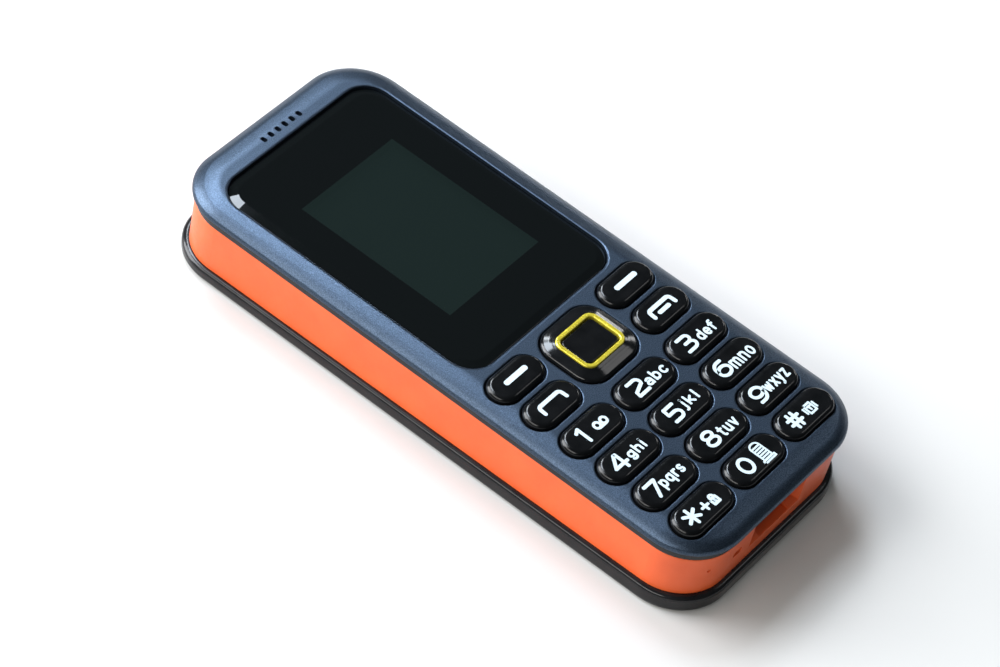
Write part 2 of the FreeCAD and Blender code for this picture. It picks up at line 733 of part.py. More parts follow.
def display():
    """Lens, its tape, the foam gasket, the display glass and the frame that holds it."""
    lens = new_body("display_lens")
    width = "(lens_width - 2 * lens_gap)"
    length = "(lens_length - 2 * lens_gap)"
    corner = "(lens_corner - lens_gap)"
    plate = sketch_on(lens, "plate", f"{LENS_SEAT} + tape_thickness", y="lens_y")
    pad(lens, rounded_rectangle(plate, width, length, corner), "lens_thickness - lens_bevel_drop")
    slope = sketch_on(lens, "slope", f"{FACE} - lens_sink - lens_bevel_drop", y="lens_y")
    pad(lens, rounded_rectangle(slope, width, length, corner), "lens_bevel_drop", lean="lens_bevel_run")

    tape = new_body("lens_tape")
    ring = rounded_rectangle(sketch_on(tape, "ring", LENS_SEAT, y="lens_y"), width, length, corner)
    pad(tape, ring, "tape_thickness")
    hole = sketch_on(tape, "hole", f"{LENS_SEAT} + tape_thickness", y="lens_y")
    narrow = f"({width} - 2 * tape_width)"
    short = f"({length} - 2 * tape_width)"
    rounded_rectangle(hole, narrow, short, f"({corner} - tape_width)")
    pocket(tape, hole, "2 * tape_thickness")

    frame = new_body("display_frame")
    tub = rectangle(sketch_on(frame, "tub", BOARD_TOP, y="display_y"), "display_width", "display_length")
    pad(frame, tub, "display_frame_height")
    inside = sketch_on(frame, "inside", f"{BOARD_TOP} + display_frame_height", y="display_y")
    inner_width = "(display_width - 2 * display_wall)"
    inner_length = "(display_length - 2 * display_wall)"
    rectangle(inside, inner_width, inner_length)
    pocket(frame, inside, "display_frame_height - display_floor")

    glass_width = f"({inner_width} - 2 * lens_gap)"
    glass_length = f"({inner_length} - 2 * lens_gap)"
    glass_base = f"({BOARD_TOP} + display_floor)"
    panel = block("display_panel", "0", "display_y", glass_base, glass_width, glass_length, "panel_thickness")
    keep("display_panel", panel)

    gasket = new_body("display_gasket")
    gasket_base = f"({glass_base} + panel_thickness)"
    foam = rectangle(sketch_on(gasket, "foam", gasket_base, y="display_y"), glass_width, glass_length)
    pad(gasket, foam, f"{TRAY_BASE} - {gasket_base}")
    hole = sketch_on(gasket, "hole", TRAY_BASE, y="display_y")
    rectangle(hole, f"{glass_width} - 2 * gasket_width", f"{glass_length} - 2 * gasket_width")
    pocket(gasket, hole, "display_frame_height")


# ---------------------------------------------------------------- keys

def key(name, x, y, hole_length, hole_width):
    """A capsule key cap with a thin lip behind the cover and a stem that presses its dome."""
    body = new_body(name)
    bind(body, Placement__Base__x=x, Placement__Base__y=y)
    lip = sketch_on(body, "lip", LIP_BASE)
    capsule(lip, f"({hole_length} + 2 * key_lip)", f"({hole_width} + 2 * key_lip)")
    pad(body, lip, "lip_thickness")
    cap = sketch_on(body, "cap", ROOF)
    capsule(cap, f"({hole_length} - 2 * key_gap)", f"({hole_width} - 2 * key_gap)")
    pad(body, cap, "cover_roof + key_rise")
    stem = circle(sketch_on(body, "stem", STEM_BASE), "stem_radius")
    pad(body, stem, f"{LIP_BASE} - {STEM_BASE}")
    fillet(body, "top_edge", "key_round", level(f"{FACE} + key_rise"))


def navigation():
    """Four-way ring with its trim, the collar it rocks on, and the select key."""
    ring = new_body("nav_ring")
    ring_width = "(nav_width - 2 * key_gap)"
    ring_length = "(nav_length - 2 * key_gap)"
    inner_width = "(trim_width - 2 * trim_band)"
    inner_length = "(trim_length - 2 * trim_band)"
    inner_corner = "(trim_corner - trim_band)"
    lip = sketch_on(ring, "lip", NAV_LIP_BASE, y="nav_y")
    rounded_rectangle(lip, "(nav_width + 2 * nav_lip)", "(nav_length + 2 * nav_lip)", "(nav_corner + nav_lip)")
    pad(ring, lip, "lip_thickness")
    wall = sketch_on(ring, "wall", f"{NAV_LIP_BASE} + lip_thickness", y="nav_y")
    rounded_rectangle(wall, ring_width, ring_length, "(nav_corner - key_gap)")
    pad(ring, wall, "nav_air + cover_roof + nav_rise - nav_slope_drop")
    slope = sketch_on(ring, "slope", f"{FACE} + nav_rise - nav_slope_drop", y="nav_y")
    rounded_rectangle(slope, ring_width, ring_length, "(nav_corner - key_gap)")
    pad(ring, slope, "nav_slope_drop", lean="nav_slope_run")
    fillet(ring, "brow", "nav_brow", level(f"{FACE} + nav_rise"))
    fillet(ring, "shoulder", "nav_shoulder", level(f"{FACE} + nav_rise - nav_slope_drop"))
    rebate = sketch_on(ring, "rebate", f"{FACE} + nav_rise", y="nav_y")
    rounded_rectangle(rebate, "(trim_width + 2 * fit_gap / 3)", "(trim_length + 2 * fit_gap / 3)", "trim_corner")
    pocket(ring, rebate, "trim_seat")
    well = sketch_on(ring, "well", f"{FACE} + nav_rise", y="nav_y")
    rounded_rectangle(well, inner_width, inner_length, inner_corner)
    pocket(ring, well, "2 * case_depth")

    trim = new_body("nav_trim")
    trim_base = f"({FACE} + nav_rise - trim_seat)"
    bead = sketch_on(trim, "bead", trim_base, y="nav_y")
    rounded_rectangle(bead, "trim_width", "trim_length", "trim_corner")
    pad(trim, bead, "trim_seat + trim_rise")
    hole = sketch_on(trim, "hole", f"{trim_base} + trim_seat + trim_rise", y="nav_y")
    rounded_rectangle(hole, inner_width, inner_length, inner_corner)
    pocket(trim, hole, "2 * trim_seat + trim_rise")
    fillet(trim, "bead", "trim_round", level(f"{FACE} + nav_rise + trim_rise"))

    select = new_body("select_key")
    cap_width = f"({inner_width} - 2 * select_gap)"
    cap_length = f"({inner_length} - 2 * select_gap)"
    lip = sketch_on(select, "lip", f"{SELECT_LIP_TOP} - lip_thickness", y="nav_y")
    lip_width = f"({inner_width} + 2 * select_lip)"
    lip_length = f"({inner_length} + 2 * select_lip)"
    rounded_rectangle(lip, lip_width, lip_length, "trim_corner")
    pad(select, lip, "lip_thickness")
    cap = sketch_on(select, "cap", SELECT_LIP_TOP, y="nav_y")
    rounded_rectangle(cap, cap_width, cap_length, f"({inner_corner} - 0.5 * select_gap)")
    pad(select, cap, f"{FACE} + nav_rise + select_rise - {SELECT_LIP_TOP} - nav_rise")
    stem = circle(sketch_on(select, "stem", STEM_BASE, y="nav_y"), "stem_radius")
    pad(select, stem, f"{SELECT_LIP_TOP} - lip_thickness - {STEM_BASE}")
    fillet(select, "top_edge", "select_round", level(f"{FACE} + select_rise"))

    boot = new_body("nav_collar")
    hole_width = f"({lip_width} + 2 * stem_gap)"
    hole_length = f"({lip_length} + 2 * stem_gap)"
    collar = sketch_on(boot, "collar", f"{BOOT_TOP} - boot_height", y="nav_y")
    outer_width = f"({hole_width} + 2 * boot_wall)"
    outer_length = f"({hole_length} + 2 * boot_wall)"
    outer_corner = "(trim_corner + stem_gap + boot_wall)"
    rounded_rectangle(collar, outer_width, outer_length, outer_corner)
    pad(boot, collar, "boot_height")
    hole = sketch_on(boot, "hole", BOOT_TOP, y="nav_y")
    rounded_rectangle(hole, hole_width, hole_length, "(trim_corner + stem_gap)")
    pocket(boot, hole, "2 * boot_height")
    reach_x = f"(({hole_width} + boot_wall) / 2)"
    reach_y = f"(({hole_length} + boot_wall) / 2)"
    nubs = [(f"-{reach_x}", "nav_y"), (reach_x, "nav_y"), ("0", f"nav_y - {reach_y}"), ("0", f"nav_y + {reach_y}")]
    feet = circles(sketch_on(boot, "nubs", f"{STEM_BASE} + key_air"), nubs, "nub_radius")
    pad(boot, feet, f"{BOOT_TOP} - boot_height - {STEM_BASE} - key_air")
    return nubs, outer_width, outer_length, outer_corner


def keypad_layers(nav_domes, collar_width, collar_length, collar_corner):
    """Dome sheet on the board, and the silicone mat that lies over it with a hole for each stem."""
    upper = list(UPPER_KEYS.values()) + [("0", "nav_y")]
    domes = new_body("dome_sheet")
    film = sketch_on(domes, "film", BOARD_TOP, y=PAD_Y)
    pad(domes, rounded_rectangle(film, "mat_width", PAD_LENGTH, MAT_CORNER), "sheet_thickness")
    spot = sketch_on(domes, "number_dome", SHEET_TOP, x="-column_pitch", y="first_row_y")
    first = pad(domes, circle(spot, "dome_radius"), "dome_height", lean="(dome_radius - dome_top_radius)")
    repeat(domes, first, spot, "column_pitch", "3", along="row_pitch", rows=4)
    spots = circles(sketch_on(domes, "upper_domes", SHEET_TOP), upper, "dome_radius")
    pad(domes, spots, "dome_height", lean="(dome_radius - dome_top_radius)")
    spots = circles(sketch_on(domes, "nav_domes", SHEET_TOP), nav_domes, "dome_top_radius")
    pad(domes, spots, "dome_height")

    mat = new_body("keypad_mat")
    block_sketch = sketch_on(mat, "block", SHEET_TOP, y=PAD_Y)
    pad(mat, rounded_rectangle(block_sketch, "mat_width", PAD_LENGTH, MAT_CORNER), f"{MAT_TOP} - {SHEET_TOP}")
    inside = sketch_on(mat, "inside", SHEET_TOP, y=PAD_Y)
    width = "(mat_width - 2 * mat_wall)"
    length = f"({PAD_LENGTH} - 2 * mat_wall)"
    rounded_rectangle(inside, width, length, f"({MAT_CORNER} - mat_wall)")
    pocket(mat, inside, f"{MAT_TOP} - {SHEET_TOP} - mat_web", up=True)
    hole = sketch_on(mat, "number_hole", MAT_TOP, x="-column_pitch", y="first_row_y")
    first = pocket(mat, circle(hole, "(stem_radius + stem_gap)"), "1.5 * mat_web")
    repeat(mat, first, hole, "column_pitch", "3", along="row_pitch", rows=4)
    holes = sketch_on(mat, "upper_holes", MAT_TOP)
    pocket(mat, circles(holes, UPPER_KEYS.values(), "(stem_radius + stem_gap)"), "1.5 * mat_web")
    hole = sketch_on(mat, "nav_hole", MAT_TOP, y="nav_y")
    width = f"({collar_width} + 2 * stem_gap)"
    length = f"({collar_length} + 2 * stem_gap)"
    rounded_rectangle(hole, width, length, f"({collar_corner} + stem_gap)")
    pocket(mat, hole, "1.5 * mat_web")


# ---------------------------------------------------------------- band, chassis and back cover

def side_band():
    """Coloured band: a leaning hoop with the port's block, scoop, strap slot and end holes."""
    body = new_body("side_band")
    height = f"({BAND_TOP} - seam_ear_end)"
    hoop = outline(sketch_on(body, "hoop", BAND_TOP), "band_inset")
    pad(body, hoop, height, lean="band_lean", down=True)
    fillet(body, "top_edge", "band_edge", level(BAND_TOP))
    inside = outline(sketch_on(body, "inside", BAND_TOP), BAND_INNER)
    pocket(body, inside, "case_depth")
    cut_at_seam(body, "seam", "below", "seam_gap")

    port_back = f"({KEY_END} + band_inset + scoop_depth + port_block_wall)"
    port_front = f"({KEY_END} + {BAND_INNER} - band_wall / 2)"
    middle = f"(({port_back} + {port_front}) / 2)"
    thick = sketch_on(body, "port_block", "port_block_base", y=middle)
    rectangle(thick, "port_block_width", f"({port_back} - {port_front})")
    pad(body, thick, f"{BAND_TOP} - port_block_base - band_edge")
    cut_scoop(body)
    mouth = sketch_on(body, "port_mouth", "cover_length / 2", y=PORT_Z, role="XZ_Plane")
    rectangle(mouth, "(port_width + 2 * fit_gap)", "(port_height + 2 * fit_gap)")
    pocket(body, mouth, "2 * (band_inset + scoop_depth)")
    strap = sketch_on(body, "strap_slot", "cover_length / 2", x="strap_x", y="strap_z", role="XZ_Plane")
    capsule(strap, "strap_width", "strap_height")
    pocket(body, strap, f"1.5 * {BAND_INNER}")
    cut_end_hole(body, "mic_hole", "mic_hole_x", "mic_hole_z", "mic_hole_radius", "cover_corner")
    jack_hole = "(jack_nose_radius + fit_gap)"
    cut_end_hole(body, "jack_hole", "jack_x", "jack_z", jack_hole, f"1.5 * {BAND_INNER}", ear_end=True)
    torch_hole = "(torch_lens_radius + fit_gap / 2)"
    cut_end_hole(body, "torch_hole", "torch_x", "torch_z", torch_hole, f"1.5 * {BAND_INNER}", ear_end=True)


def chassis():
    """Moulded tub: rim strip, board bay above the floor, battery and rear bays below it."""
    body = new_body("chassis")
    tub = outline(sketch_on(body, "tub", TUB_BASE), TUB_OUTER)
    pad(body, tub, f"{BAND_TOP} - {TUB_BASE}")
    rim = outline(sketch_on(body, "rim", BAND_TOP), "rim_inset")
    pad(body, rim, "rim_height")
    skirt = outline(sketch_on(body, "skirt", BAY_BASE), SKIRT_OUTER)
    pad(body, skirt, f"{TUB_BASE} - {BAY_BASE}")
    bay = outline(sketch_on(body, "board_bay", COVER_BASE), BOARD_BAY)
    pocket(body, bay, f"{COVER_BASE} - {FLOOR_TOP}")
    relief = sketch_on(body, "keypad_relief", COVER_BASE, y=PAD_Y)
    rounded_rectangle(relief, PAD_WIDTH, PAD_LENGTH, "pad_corner")
    pocket(body, relief, "keypad_relief")

    below = f"({FLOOR_BASE} - {BAY_BASE})"
    battery_bay = sketch_on(body, "battery_bay", BAY_BASE, y="battery_y")
    width = "(battery_width + 2 * battery_gap)"
    length = "(battery_length + 2 * battery_gap)"
    pocket(body, rounded_rectangle(battery_bay, width, length, "battery_corner"), below, up=True)
    rear_end = f"({EAR_END} - {SKIRT_INNER})"
    rear_y = f"(({REAR_BAY_BASE} + {rear_end}) / 2)"
    rear_bay = sketch_on(body, "rear_bay", BAY_BASE, y=rear_y)
    width = f"(cover_width - 2 * {SKIRT_INNER})"
    length = f"({rear_end} - {REAR_BAY_BASE})"
    pocket(body, rounded_rectangle(rear_bay, width, length, f"(cover_corner - {SKIRT_INNER})"), below, up=True)
    notch = sketch_on(body, "contact_notch", BAY_BASE, y=f"{BATTERY_TOP} + battery_gap + bay_rib / 2")
    rectangle(notch, "(contact_width + 2 * part_gap)", "2 * bay_rib")
    pocket(body, notch, below, up=True)

    pillars = circles(sketch_on(body, "pillars", FLOOR_TOP), SCREWS, "screw_pillar_radius")
    pad(body, pillars, "socket_room")
    wells = circles(sketch_on(body, "wells", BAY_BASE), SCREWS, "screw_well_radius")
    pocket(body, wells, below, up=True)
    holes = circles(sketch_on(body, "screw_holes", BOARD_BASE), SCREWS, "screw_hole_radius")
    pocket(body, holes, "2 * socket_room")

    openings = sketch_on(body, "socket_openings", FLOOR_TOP)
    for x in ("-sim_x", "sim_x"):
        rectangle(openings, "(sim_width - 2 * socket_lip)", "(sim_length - 2 * socket_lip)", x, "sim_y")
    rectangle(openings, "(card_width - 2 * socket_lip)", "(card_length - 2 * socket_lip)", "0", "card_y")
    pocket(body, openings, "2 * floor_thickness")

    cut_scoop(body)
    block_room = sketch_on(body, "port_room", "cover_length / 2", role="XZ_Plane")
    bind(block_room, AttachmentOffset__Base__y=f"({BAND_TOP} + port_block_base - part_gap) / 2")
    rectangle(block_room, "(port_block_width + 2 * part_gap)", f"({BAND_TOP} - port_block_base + part_gap)")
    room_depth = "(band_inset + scoop_depth + port_block_wall + part_gap)"
    pocket(body, block_room, room_depth)
    socket_room = sketch_on(body, "socket_notch", FLOOR_TOP, y=f"{PORT_MOUTH} + port_length / 2")
    rectangle(socket_room, "(port_width + 2 * part_gap)", "(port_length + 2 * part_gap)")
    pocket(body, socket_room, "floor_thickness")
    strap = sketch_on(body, "strap_room", "cover_length / 2", x="strap_x", y="strap_z", role="XZ_Plane")
    capsule(strap, "(strap_width + 2 * part_gap)", "(strap_height + 2 * part_gap)")
    pocket(body, strap, f"{TUB_OUTER} + chassis_wall / 2")
    cut_end_hole(body, "mic_hole", "mic_hole_x", "mic_hole_z", "mic_hole_radius", "cover_corner")

    jack = sketch_on(body, "jack_room", "-cover_length / 2", x="jack_x", y="jack_z", role="XZ_Plane")
    rectangle(jack, "(jack_body_width + 2 * part_gap)", "(jack_body_height + 2 * part_gap)")
    jack_reach = f"({EAR_END} - {JACK_MOUTH} + jack_bore_depth + jack_end_wall + part_gap)"
    pocket(body, jack, jack_reach, up=True)
    torch = sketch_on(body, "torch_room", "-cover_length / 2", x="torch_x", y="torch_z", role="XZ_Plane")
    pocket(body, circle(torch, "(led_radius + fit_gap)"), f"{BOARD_BAY} + part_gap", up=True)
    flange = sketch_on(body, "flange_room", f"-({EAR_END} - {BOARD_BAY})", x="torch_x", y="torch_z", role="XZ_Plane")
    pocket(body, circle(flange, "(led_flange_radius + part_gap)"), "2 * led_flange", up=True)


def back_cover():
    """Shallow dish with a proud rounded rim, an inner lip, sound slots and a nail notch."""
    body = new_body("back_cover")
    dish = sketch_on(body, "dish", "0")
    width = "(cover_width + 2 * back_side_outset)"
    length = "(cover_length + 2 * back_end_outset)"
    rounded_rectangle(dish, width, length, "(cover_corner + back_side_outset)")
    pad(body, dish, "seam_key_end + back_floor")
    cut_at_seam(body, "seam", "above", "0")
    fillet(body, "back_round", "back_round", level("0"))

    def on_ledge(point):
        slope = value(seam(str(round(point.y, 6))))
        return abs(point.z - slope) < 1e-3
    fillet(body, "ledge_round", "ledge_round", on_ledge)

    lip = outline(sketch_on(body, "lip", "back_floor"), LIP_OUTER)
    pad(body, lip, "lip_top - back_floor")
    inside = outline(sketch_on(body, "inside", "back_floor"), LIP_INNER)
    pocket(body, inside, "lip_top", up=True)

    slot_y = "speaker_y - speaker_slot_pitch"
    slot = sketch_on(body, "sound_slot", "back_floor", x="speaker_x", y=slot_y)
    capsule(slot, "speaker_slot_length", "speaker_slot_width")
    first = pocket(body, slot, "2 * back_floor")
    pattern = body.newObject("PartDesign::LinearPattern", "sound_slots")
    pattern.Originals = [first]
    pattern.Direction = (slot, ["V_Axis"])
    pattern.Mode = "Spacing"
    pattern.Occurrences = 3
    bind(pattern, Offset="speaker_slot_pitch")
    body.Tip = pattern
    doc.recompute()
    nail = sketch_on(body, "nail_notch", "-(cover_length / 2 + 2 * back_end_outset)", role="XZ_Plane")
    bind(nail, AttachmentOffset__Base__y=seam("cover_length / 2"))
    capsule(nail, "nail_width", "2 * nail_height")
    pocket(body, nail, "back_end_outset + nail_depth", up=True)


# ---------------------------------------------------------------- electronics

def main_board():
    """Circuit board with notches for the jack and the torch, and holes for the case screws."""
    body = new_body("main_board")
    plate = outline(sketch_on(body, "plate", BOARD_BASE), f"({BOARD_BAY} + board_gap)")
    pad(body, plate, "board_thickness")
    holes = circles(sketch_on(body, "screw_holes", BOARD_TOP), SCREWS, "screw_hole_radius")
    pocket(body, holes, "2 * board_thickness")
    edge = f"({EAR_END} - {BOARD_BAY})"
    jack_back = f"({JACK_MOUTH} - jack_bore_depth - jack_end_wall - part_gap)"
    torch_back = f"({EAR_END} - {BOARD_BAY} - led_flange - 2 * part_gap)"
    notches = [
        ("jack", "jack_x", jack_back, "(jack_body_width + 2 * part_gap)"),
        ("torch", "torch_x", torch_back, "(2 * led_flange_radius + 2 * part_gap)"),
    ]
    for name, x, back, width in notches:
        notch = sketch_on(body, f"{name}_notch", BOARD_TOP, x=x, y=f"({edge} + {back}) / 2")
        rectangle(notch, width, f"({edge} - {back})")
        pocket(body, notch, "2 * board_thickness")


def sounders():
    """Earpiece with its mesh, loudspeaker, microphone and vibration motor."""
    speaker = new_body("earpiece_speaker")
    shape = rounded_rectangle(
        sketch_on(speaker, "case", BOARD_TOP, y="ear_speaker_y"), "ear_width", "ear_length", "(ear_length / 4)")
    pad(speaker, shape, "ear_height")
    rear = sketch_on(speaker, "grille", f"{BOARD_TOP} + ear_height", y="ear_speaker_y")
    capsule(rear, "(ear_width / 2)", "(ear_length / 3)")
    pocket(speaker, rear, "ear_height / 4")
    mesh_base = f"{ROOF} - mesh_thickness"
    mesh = block("earpiece_mesh", "0", "ear_y", mesh_base, "ear_width - 2 * part_gap", "mesh_length", "mesh_thickness")
    keep("earpiece_mesh", mesh)

    loud = new_body("loudspeaker")
    base = f"({FLOOR_BASE} - speaker_height)"
    case = sketch_on(loud, "case", base, x="speaker_x", y="speaker_y")
    pad(loud, rounded_rectangle(case, "speaker_width", "speaker_length", "speaker_corner"), "speaker_height")
    cone = sketch_on(loud, "cone", base, x="speaker_x", y="speaker_y")
    cone_width = "(speaker_width - 2 * speaker_corner)"
    rounded_rectangle(cone, cone_width, "(speaker_length - speaker_corner)", "speaker_corner")
    pocket(loud, cone, "speaker_height / 4", up=True)

    microphone = drum("microphone", "mic_x", "mic_y", f"{BOARD_BASE} - mic_height", "mic_radius", "mic_height")
    keep("microphone", microphone)
    motor_base = f"{FLOOR_BASE} - motor_height"
    keep("vibration_motor", drum("vibration_motor", "motor_x", "motor_y", motor_base, "motor_radius", "motor_height"))


def ports():
    """Charging socket, headphone jack, and the torch's lamp and lens."""
    usb = new_body("usb_socket")
    shell = sketch_on(usb, "shell", f"-{PORT_MOUTH}", y=PORT_Z, role="XZ_Plane")
    pad(usb, rectangle(shell, "port_width", "port_height"), "port_length", down=True)
    for side, name in ((-1, "lower"), (1, "upper")):
        gap = "(port_height / 2 - port_wall - port_tongue / 2)"
        middle = f"{PORT_Z} + {side} * (port_tongue + {gap}) / 2"
        cavity = sketch_on(usb, f"{name}_cavity", f"-{PORT_MOUTH}", y=middle, role="XZ_Plane")
        rectangle(cavity, "(port_width - 2 * port_wall)", gap)
        pocket(usb, cavity, "port_length - port_wall")

    jack = new_body("audio_jack")
    body_end = f"({JACK_MOUTH} - jack_nose_length)"
    box = sketch_on(jack, "case", f"-{body_end}", x="jack_x", y="jack_z", role="XZ_Plane")
    rectangle(box, "jack_body_width", "jack_body_height")
    pad(jack, box, "jack_bore_depth + jack_end_wall - jack_nose_length")
    nose = sketch_on(jack, "nose", f"-{body_end}", x="jack_x", y="jack_z", role="XZ_Plane")
    pad(jack, circle(nose, "jack_nose_radius"), "jack_nose_length", down=True)
    bore = sketch_on(jack, "bore", f"-{JACK_MOUTH}", x="jack_x", y="jack_z", role="XZ_Plane")
    pocket(jack, circle(bore, "jack_bore_radius"), "jack_bore_depth", up=True)

    lamp = new_body("torch_led")
    flange_back = f"-({EAR_END} - {BOARD_BAY} - led_flange - fit_gap)"
    flange = sketch_on(lamp, "flange", flange_back, x="torch_x", y="torch_z", role="XZ_Plane")
    pad(lamp, circle(flange, "led_flange_radius"), "led_flange", down=True)
    bulb = sketch_on(lamp, "bulb", f"{flange_back} - led_flange", x="torch_x", y="torch_z", role="XZ_Plane")
    bulb_length = f"({TORCH_LENS_BASE} - fit_gap - ({EAR_END} - {BOARD_BAY} - fit_gap))"
    pad(lamp, circle(bulb, "led_radius"), bulb_length, down=True)

    lens = new_body("torch_lens")
    disc = sketch_on(lens, "disc", f"-{TORCH_LENS_BASE}", x="torch_x", y="torch_z", role="XZ_Plane")
    pad(lens, circle(disc, "torch_lens_radius"), "torch_lens_length", down=True)


def board_parts():
    """Card sockets, screening cans, battery contacts and antenna on the board and chassis."""
    base = f"({BOARD_BASE} - socket_height)"
    sockets = [
        ("sim_sockets", "-sim_x", "sim_y", "sim_width", "sim_length"),
        ("sim_sockets", "sim_x", "sim_y", "sim_width", "sim_length"),
        ("memory_card_socket", "0", "card_y", "card_width", "card_length"),
    ]
    groups = {}
    for number, (name, x, y, width, length) in enumerate(sockets):
        shell = block(f"socket_shell_{number}", x, y, base, width, length, "socket_height")
        mouth_width = f"({width} - 4 * socket_lip)"
        mouth_y = f"({y} - socket_mouth)"
        mouth = block(f"socket_mouth_{number}", x, mouth_y, base, mouth_width, length, "socket_mouth")
        cut = doc.addObject("Part::Cut", f"socket_{number}")
        cut.Base = shell
        cut.Tool = mouth
        groups.setdefault(name, []).append(cut)
    group = doc.addObject("Part::Compound", "sim_sockets")
    group.Links = groups["sim_sockets"]
    keep("sim_sockets", group)
    keep("memory_card_socket", groups["memory_card_socket"][0])

    cans = [
        block("can_large", "can_x", "can_y", f"{BOARD_BASE} - can_height", "can_width", "can_length", "can_height"),
        block("can_small", "-can_x - can_width / 4 + can_width / 2", "can_y", f"{BOARD_BASE} - can_height",
              "can_width / 2", "can_length / 2", "can_height"),
    ]
    group = doc.addObject("Part::Compound", "shield_cans")
    group.Links = cans
    keep("shield_cans", group)

    contact_y = f"({BATTERY_TOP} + battery_gap + contact_length / 2)"
    contact_base = f"({FLOOR_BASE} - contact_height)"
    housing = block("contact_housing", "0", contact_y, contact_base, "contact_width", "contact_length",
                    "contact_height")
    pieces = [housing]
    for number in (-1, 0, 1):
        spring_y = f"({BATTERY_TOP} + battery_gap - key_air)"
        spring = block(f"contact_spring_{number + 1}", f"{number} * contact_pitch", spring_y,
                       f"({contact_base} + contact_height / 4)", "(contact_pitch / 3)", "(battery_gap - key_air)",
                       "(contact_height / 2)")
        pieces.append(spring)
    fuse = doc.addObject("Part::MultiFuse", "battery_contacts")
    fuse.Shapes = pieces
    keep("battery_contacts", fuse)

    carrier = new_body("antenna_carrier")
    carrier_base = f"({FLOOR_BASE} - antenna_height)"
    plate = sketch_on(carrier, "plate", carrier_base, y="antenna_y")
    pad(carrier, rectangle(plate, "antenna_width", "antenna_length"), "antenna_height")
    room = sketch_on(carrier, "room", FLOOR_BASE, y="antenna_y")
    rectangle(room, "(antenna_width - 2 * antenna_wall)", "(2 * antenna_length)")
    pocket(carrier, room, "antenna_height - antenna_wall")


def battery():
    """Removable pack with rounded edges."""
    body = new_body("battery")
    pack = sketch_on(body, "pack", BAY_BASE, y="battery_y")
    rounded_rectangle(pack, "battery_width", "battery_length", "battery_corner")
    pad(body, pack, "battery_depth")
    low = value(BAY_BASE)
    high = value(f"{BAY_BASE} + battery_depth")
    fillet(body, "edges", "battery_round", lambda point: min(abs(point.z - low), abs(point.z - high)) < 1e-4)


def case_screws():
    """Four screws from the rear bay through chassis and board into the front cover's bosses."""
    screws = []
    for number, (x, y) in enumerate(SCREWS):
        head_base = f"({FLOOR_BASE} - screw_head_height)"
        shank_length = f"({BOARD_TOP} + key_air + pilot_depth - part_gap - {FLOOR_BASE})"
        head = drum(f"screw_head_{number}", x, y, head_base, "screw_head_radius", "screw_head_height")
        shank = drum(f"screw_shank_{number}", x, y, FLOOR_BASE, "(screw_radius - key_air / 2)", shank_length)
        screw = doc.addObject("Part::MultiFuse", f"screw_{number}")
        screw.Shapes = [head, shank]
        screws.append(screw)
    group = doc.addObject("Part::Compound", "case_screws")
    group.Links = screws
    keep("case_screws", group)


front_cover()
display()
for row, names in enumerate(NUMBER_KEYS):
    for column, name in enumerate(names):
        key_x = f"{column - 1} * column_pitch"
        key_y = f"first_row_y - {row} * row_pitch"
        key(name, key_x, key_y, "number_hole_length", "key_hole_width")
for name, (key_x, key_y) in UPPER_KEYS.items():
    key(name, key_x, key_y, "upper_hole_length", "key_hole_width")
keypad_layers(*navigation())
side_band()
chassis()
back_cover()
main_board()
sounders()
ports()
board_parts()
battery()
case_screws()

doc.recompute()
for item in doc.Objects:
    if "Invalid" in item.State or "Error" in item.State:
        raise RuntimeError(f"{item.Name} did not build")
for name, item in subparts.items():
    if item.Shape.isNull() or not item.Shape.isValid():
        raise RuntimeError(f"{name} has no valid shape")
for name, item in subparts.items():
    item.Shape.exportStep(f"parts/{name}.step")
print(len(subparts), "sub-parts")
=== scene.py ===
import math
import bmesh
import bpy
from mathutils import Matrix, Vector


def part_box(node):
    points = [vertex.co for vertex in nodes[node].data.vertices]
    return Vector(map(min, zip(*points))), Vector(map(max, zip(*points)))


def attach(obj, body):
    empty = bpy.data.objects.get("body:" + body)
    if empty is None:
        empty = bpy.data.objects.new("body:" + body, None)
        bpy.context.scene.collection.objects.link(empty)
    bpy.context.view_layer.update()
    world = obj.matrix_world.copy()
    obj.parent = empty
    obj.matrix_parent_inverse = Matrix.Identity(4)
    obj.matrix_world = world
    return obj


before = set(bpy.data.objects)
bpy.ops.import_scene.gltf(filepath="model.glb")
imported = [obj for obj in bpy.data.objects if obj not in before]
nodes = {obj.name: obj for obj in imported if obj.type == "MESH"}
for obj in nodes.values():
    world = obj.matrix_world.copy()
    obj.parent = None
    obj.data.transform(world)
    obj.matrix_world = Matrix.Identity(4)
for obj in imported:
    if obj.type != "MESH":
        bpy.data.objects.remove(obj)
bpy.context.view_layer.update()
MM = 0.001


# ---- Chassis
# A glass-filled black moulding that everything is fixed to. Its rim shows as a strip under the
# front cover. The rim is polished in the tool and the inside is left eroded, but here the whole
# chassis has the polished finish.
class Signal:
    """A number that a finish works out on the surface, so that shader maths reads as arithmetic."""

    def __init__(self, finish, socket):
        self.finish = finish
        self.socket = socket

    def math(self, operation, *values):
        return self.finish.node("ShaderNodeMath", {"operation": operation}, list(values))

    def __add__(self, other):
        return self.math("ADD", self, other)

    def __sub__(self, other):
        return self.math("SUBTRACT", self, other)

    def __rsub__(self, other):
        return self.math("SUBTRACT", other, self)

    def __mul__(self, other):
        return self.math("MULTIPLY", self, other)

    def __truediv__(self, other):
        return self.math("DIVIDE", self, other)

    def size(self):
        return self.math("ABSOLUTE", self)

    def larger(self, other):
        return self.math("MAXIMUM", self, other)

    def smaller(self, other):
        return self.math("MINIMUM", self, other)

    def clamp(self):
        """The number held between 0 and 1."""
        return self.finish.node("ShaderNodeClamp", values=[self])

    __radd__ = __add__
    __rmul__ = __mul__


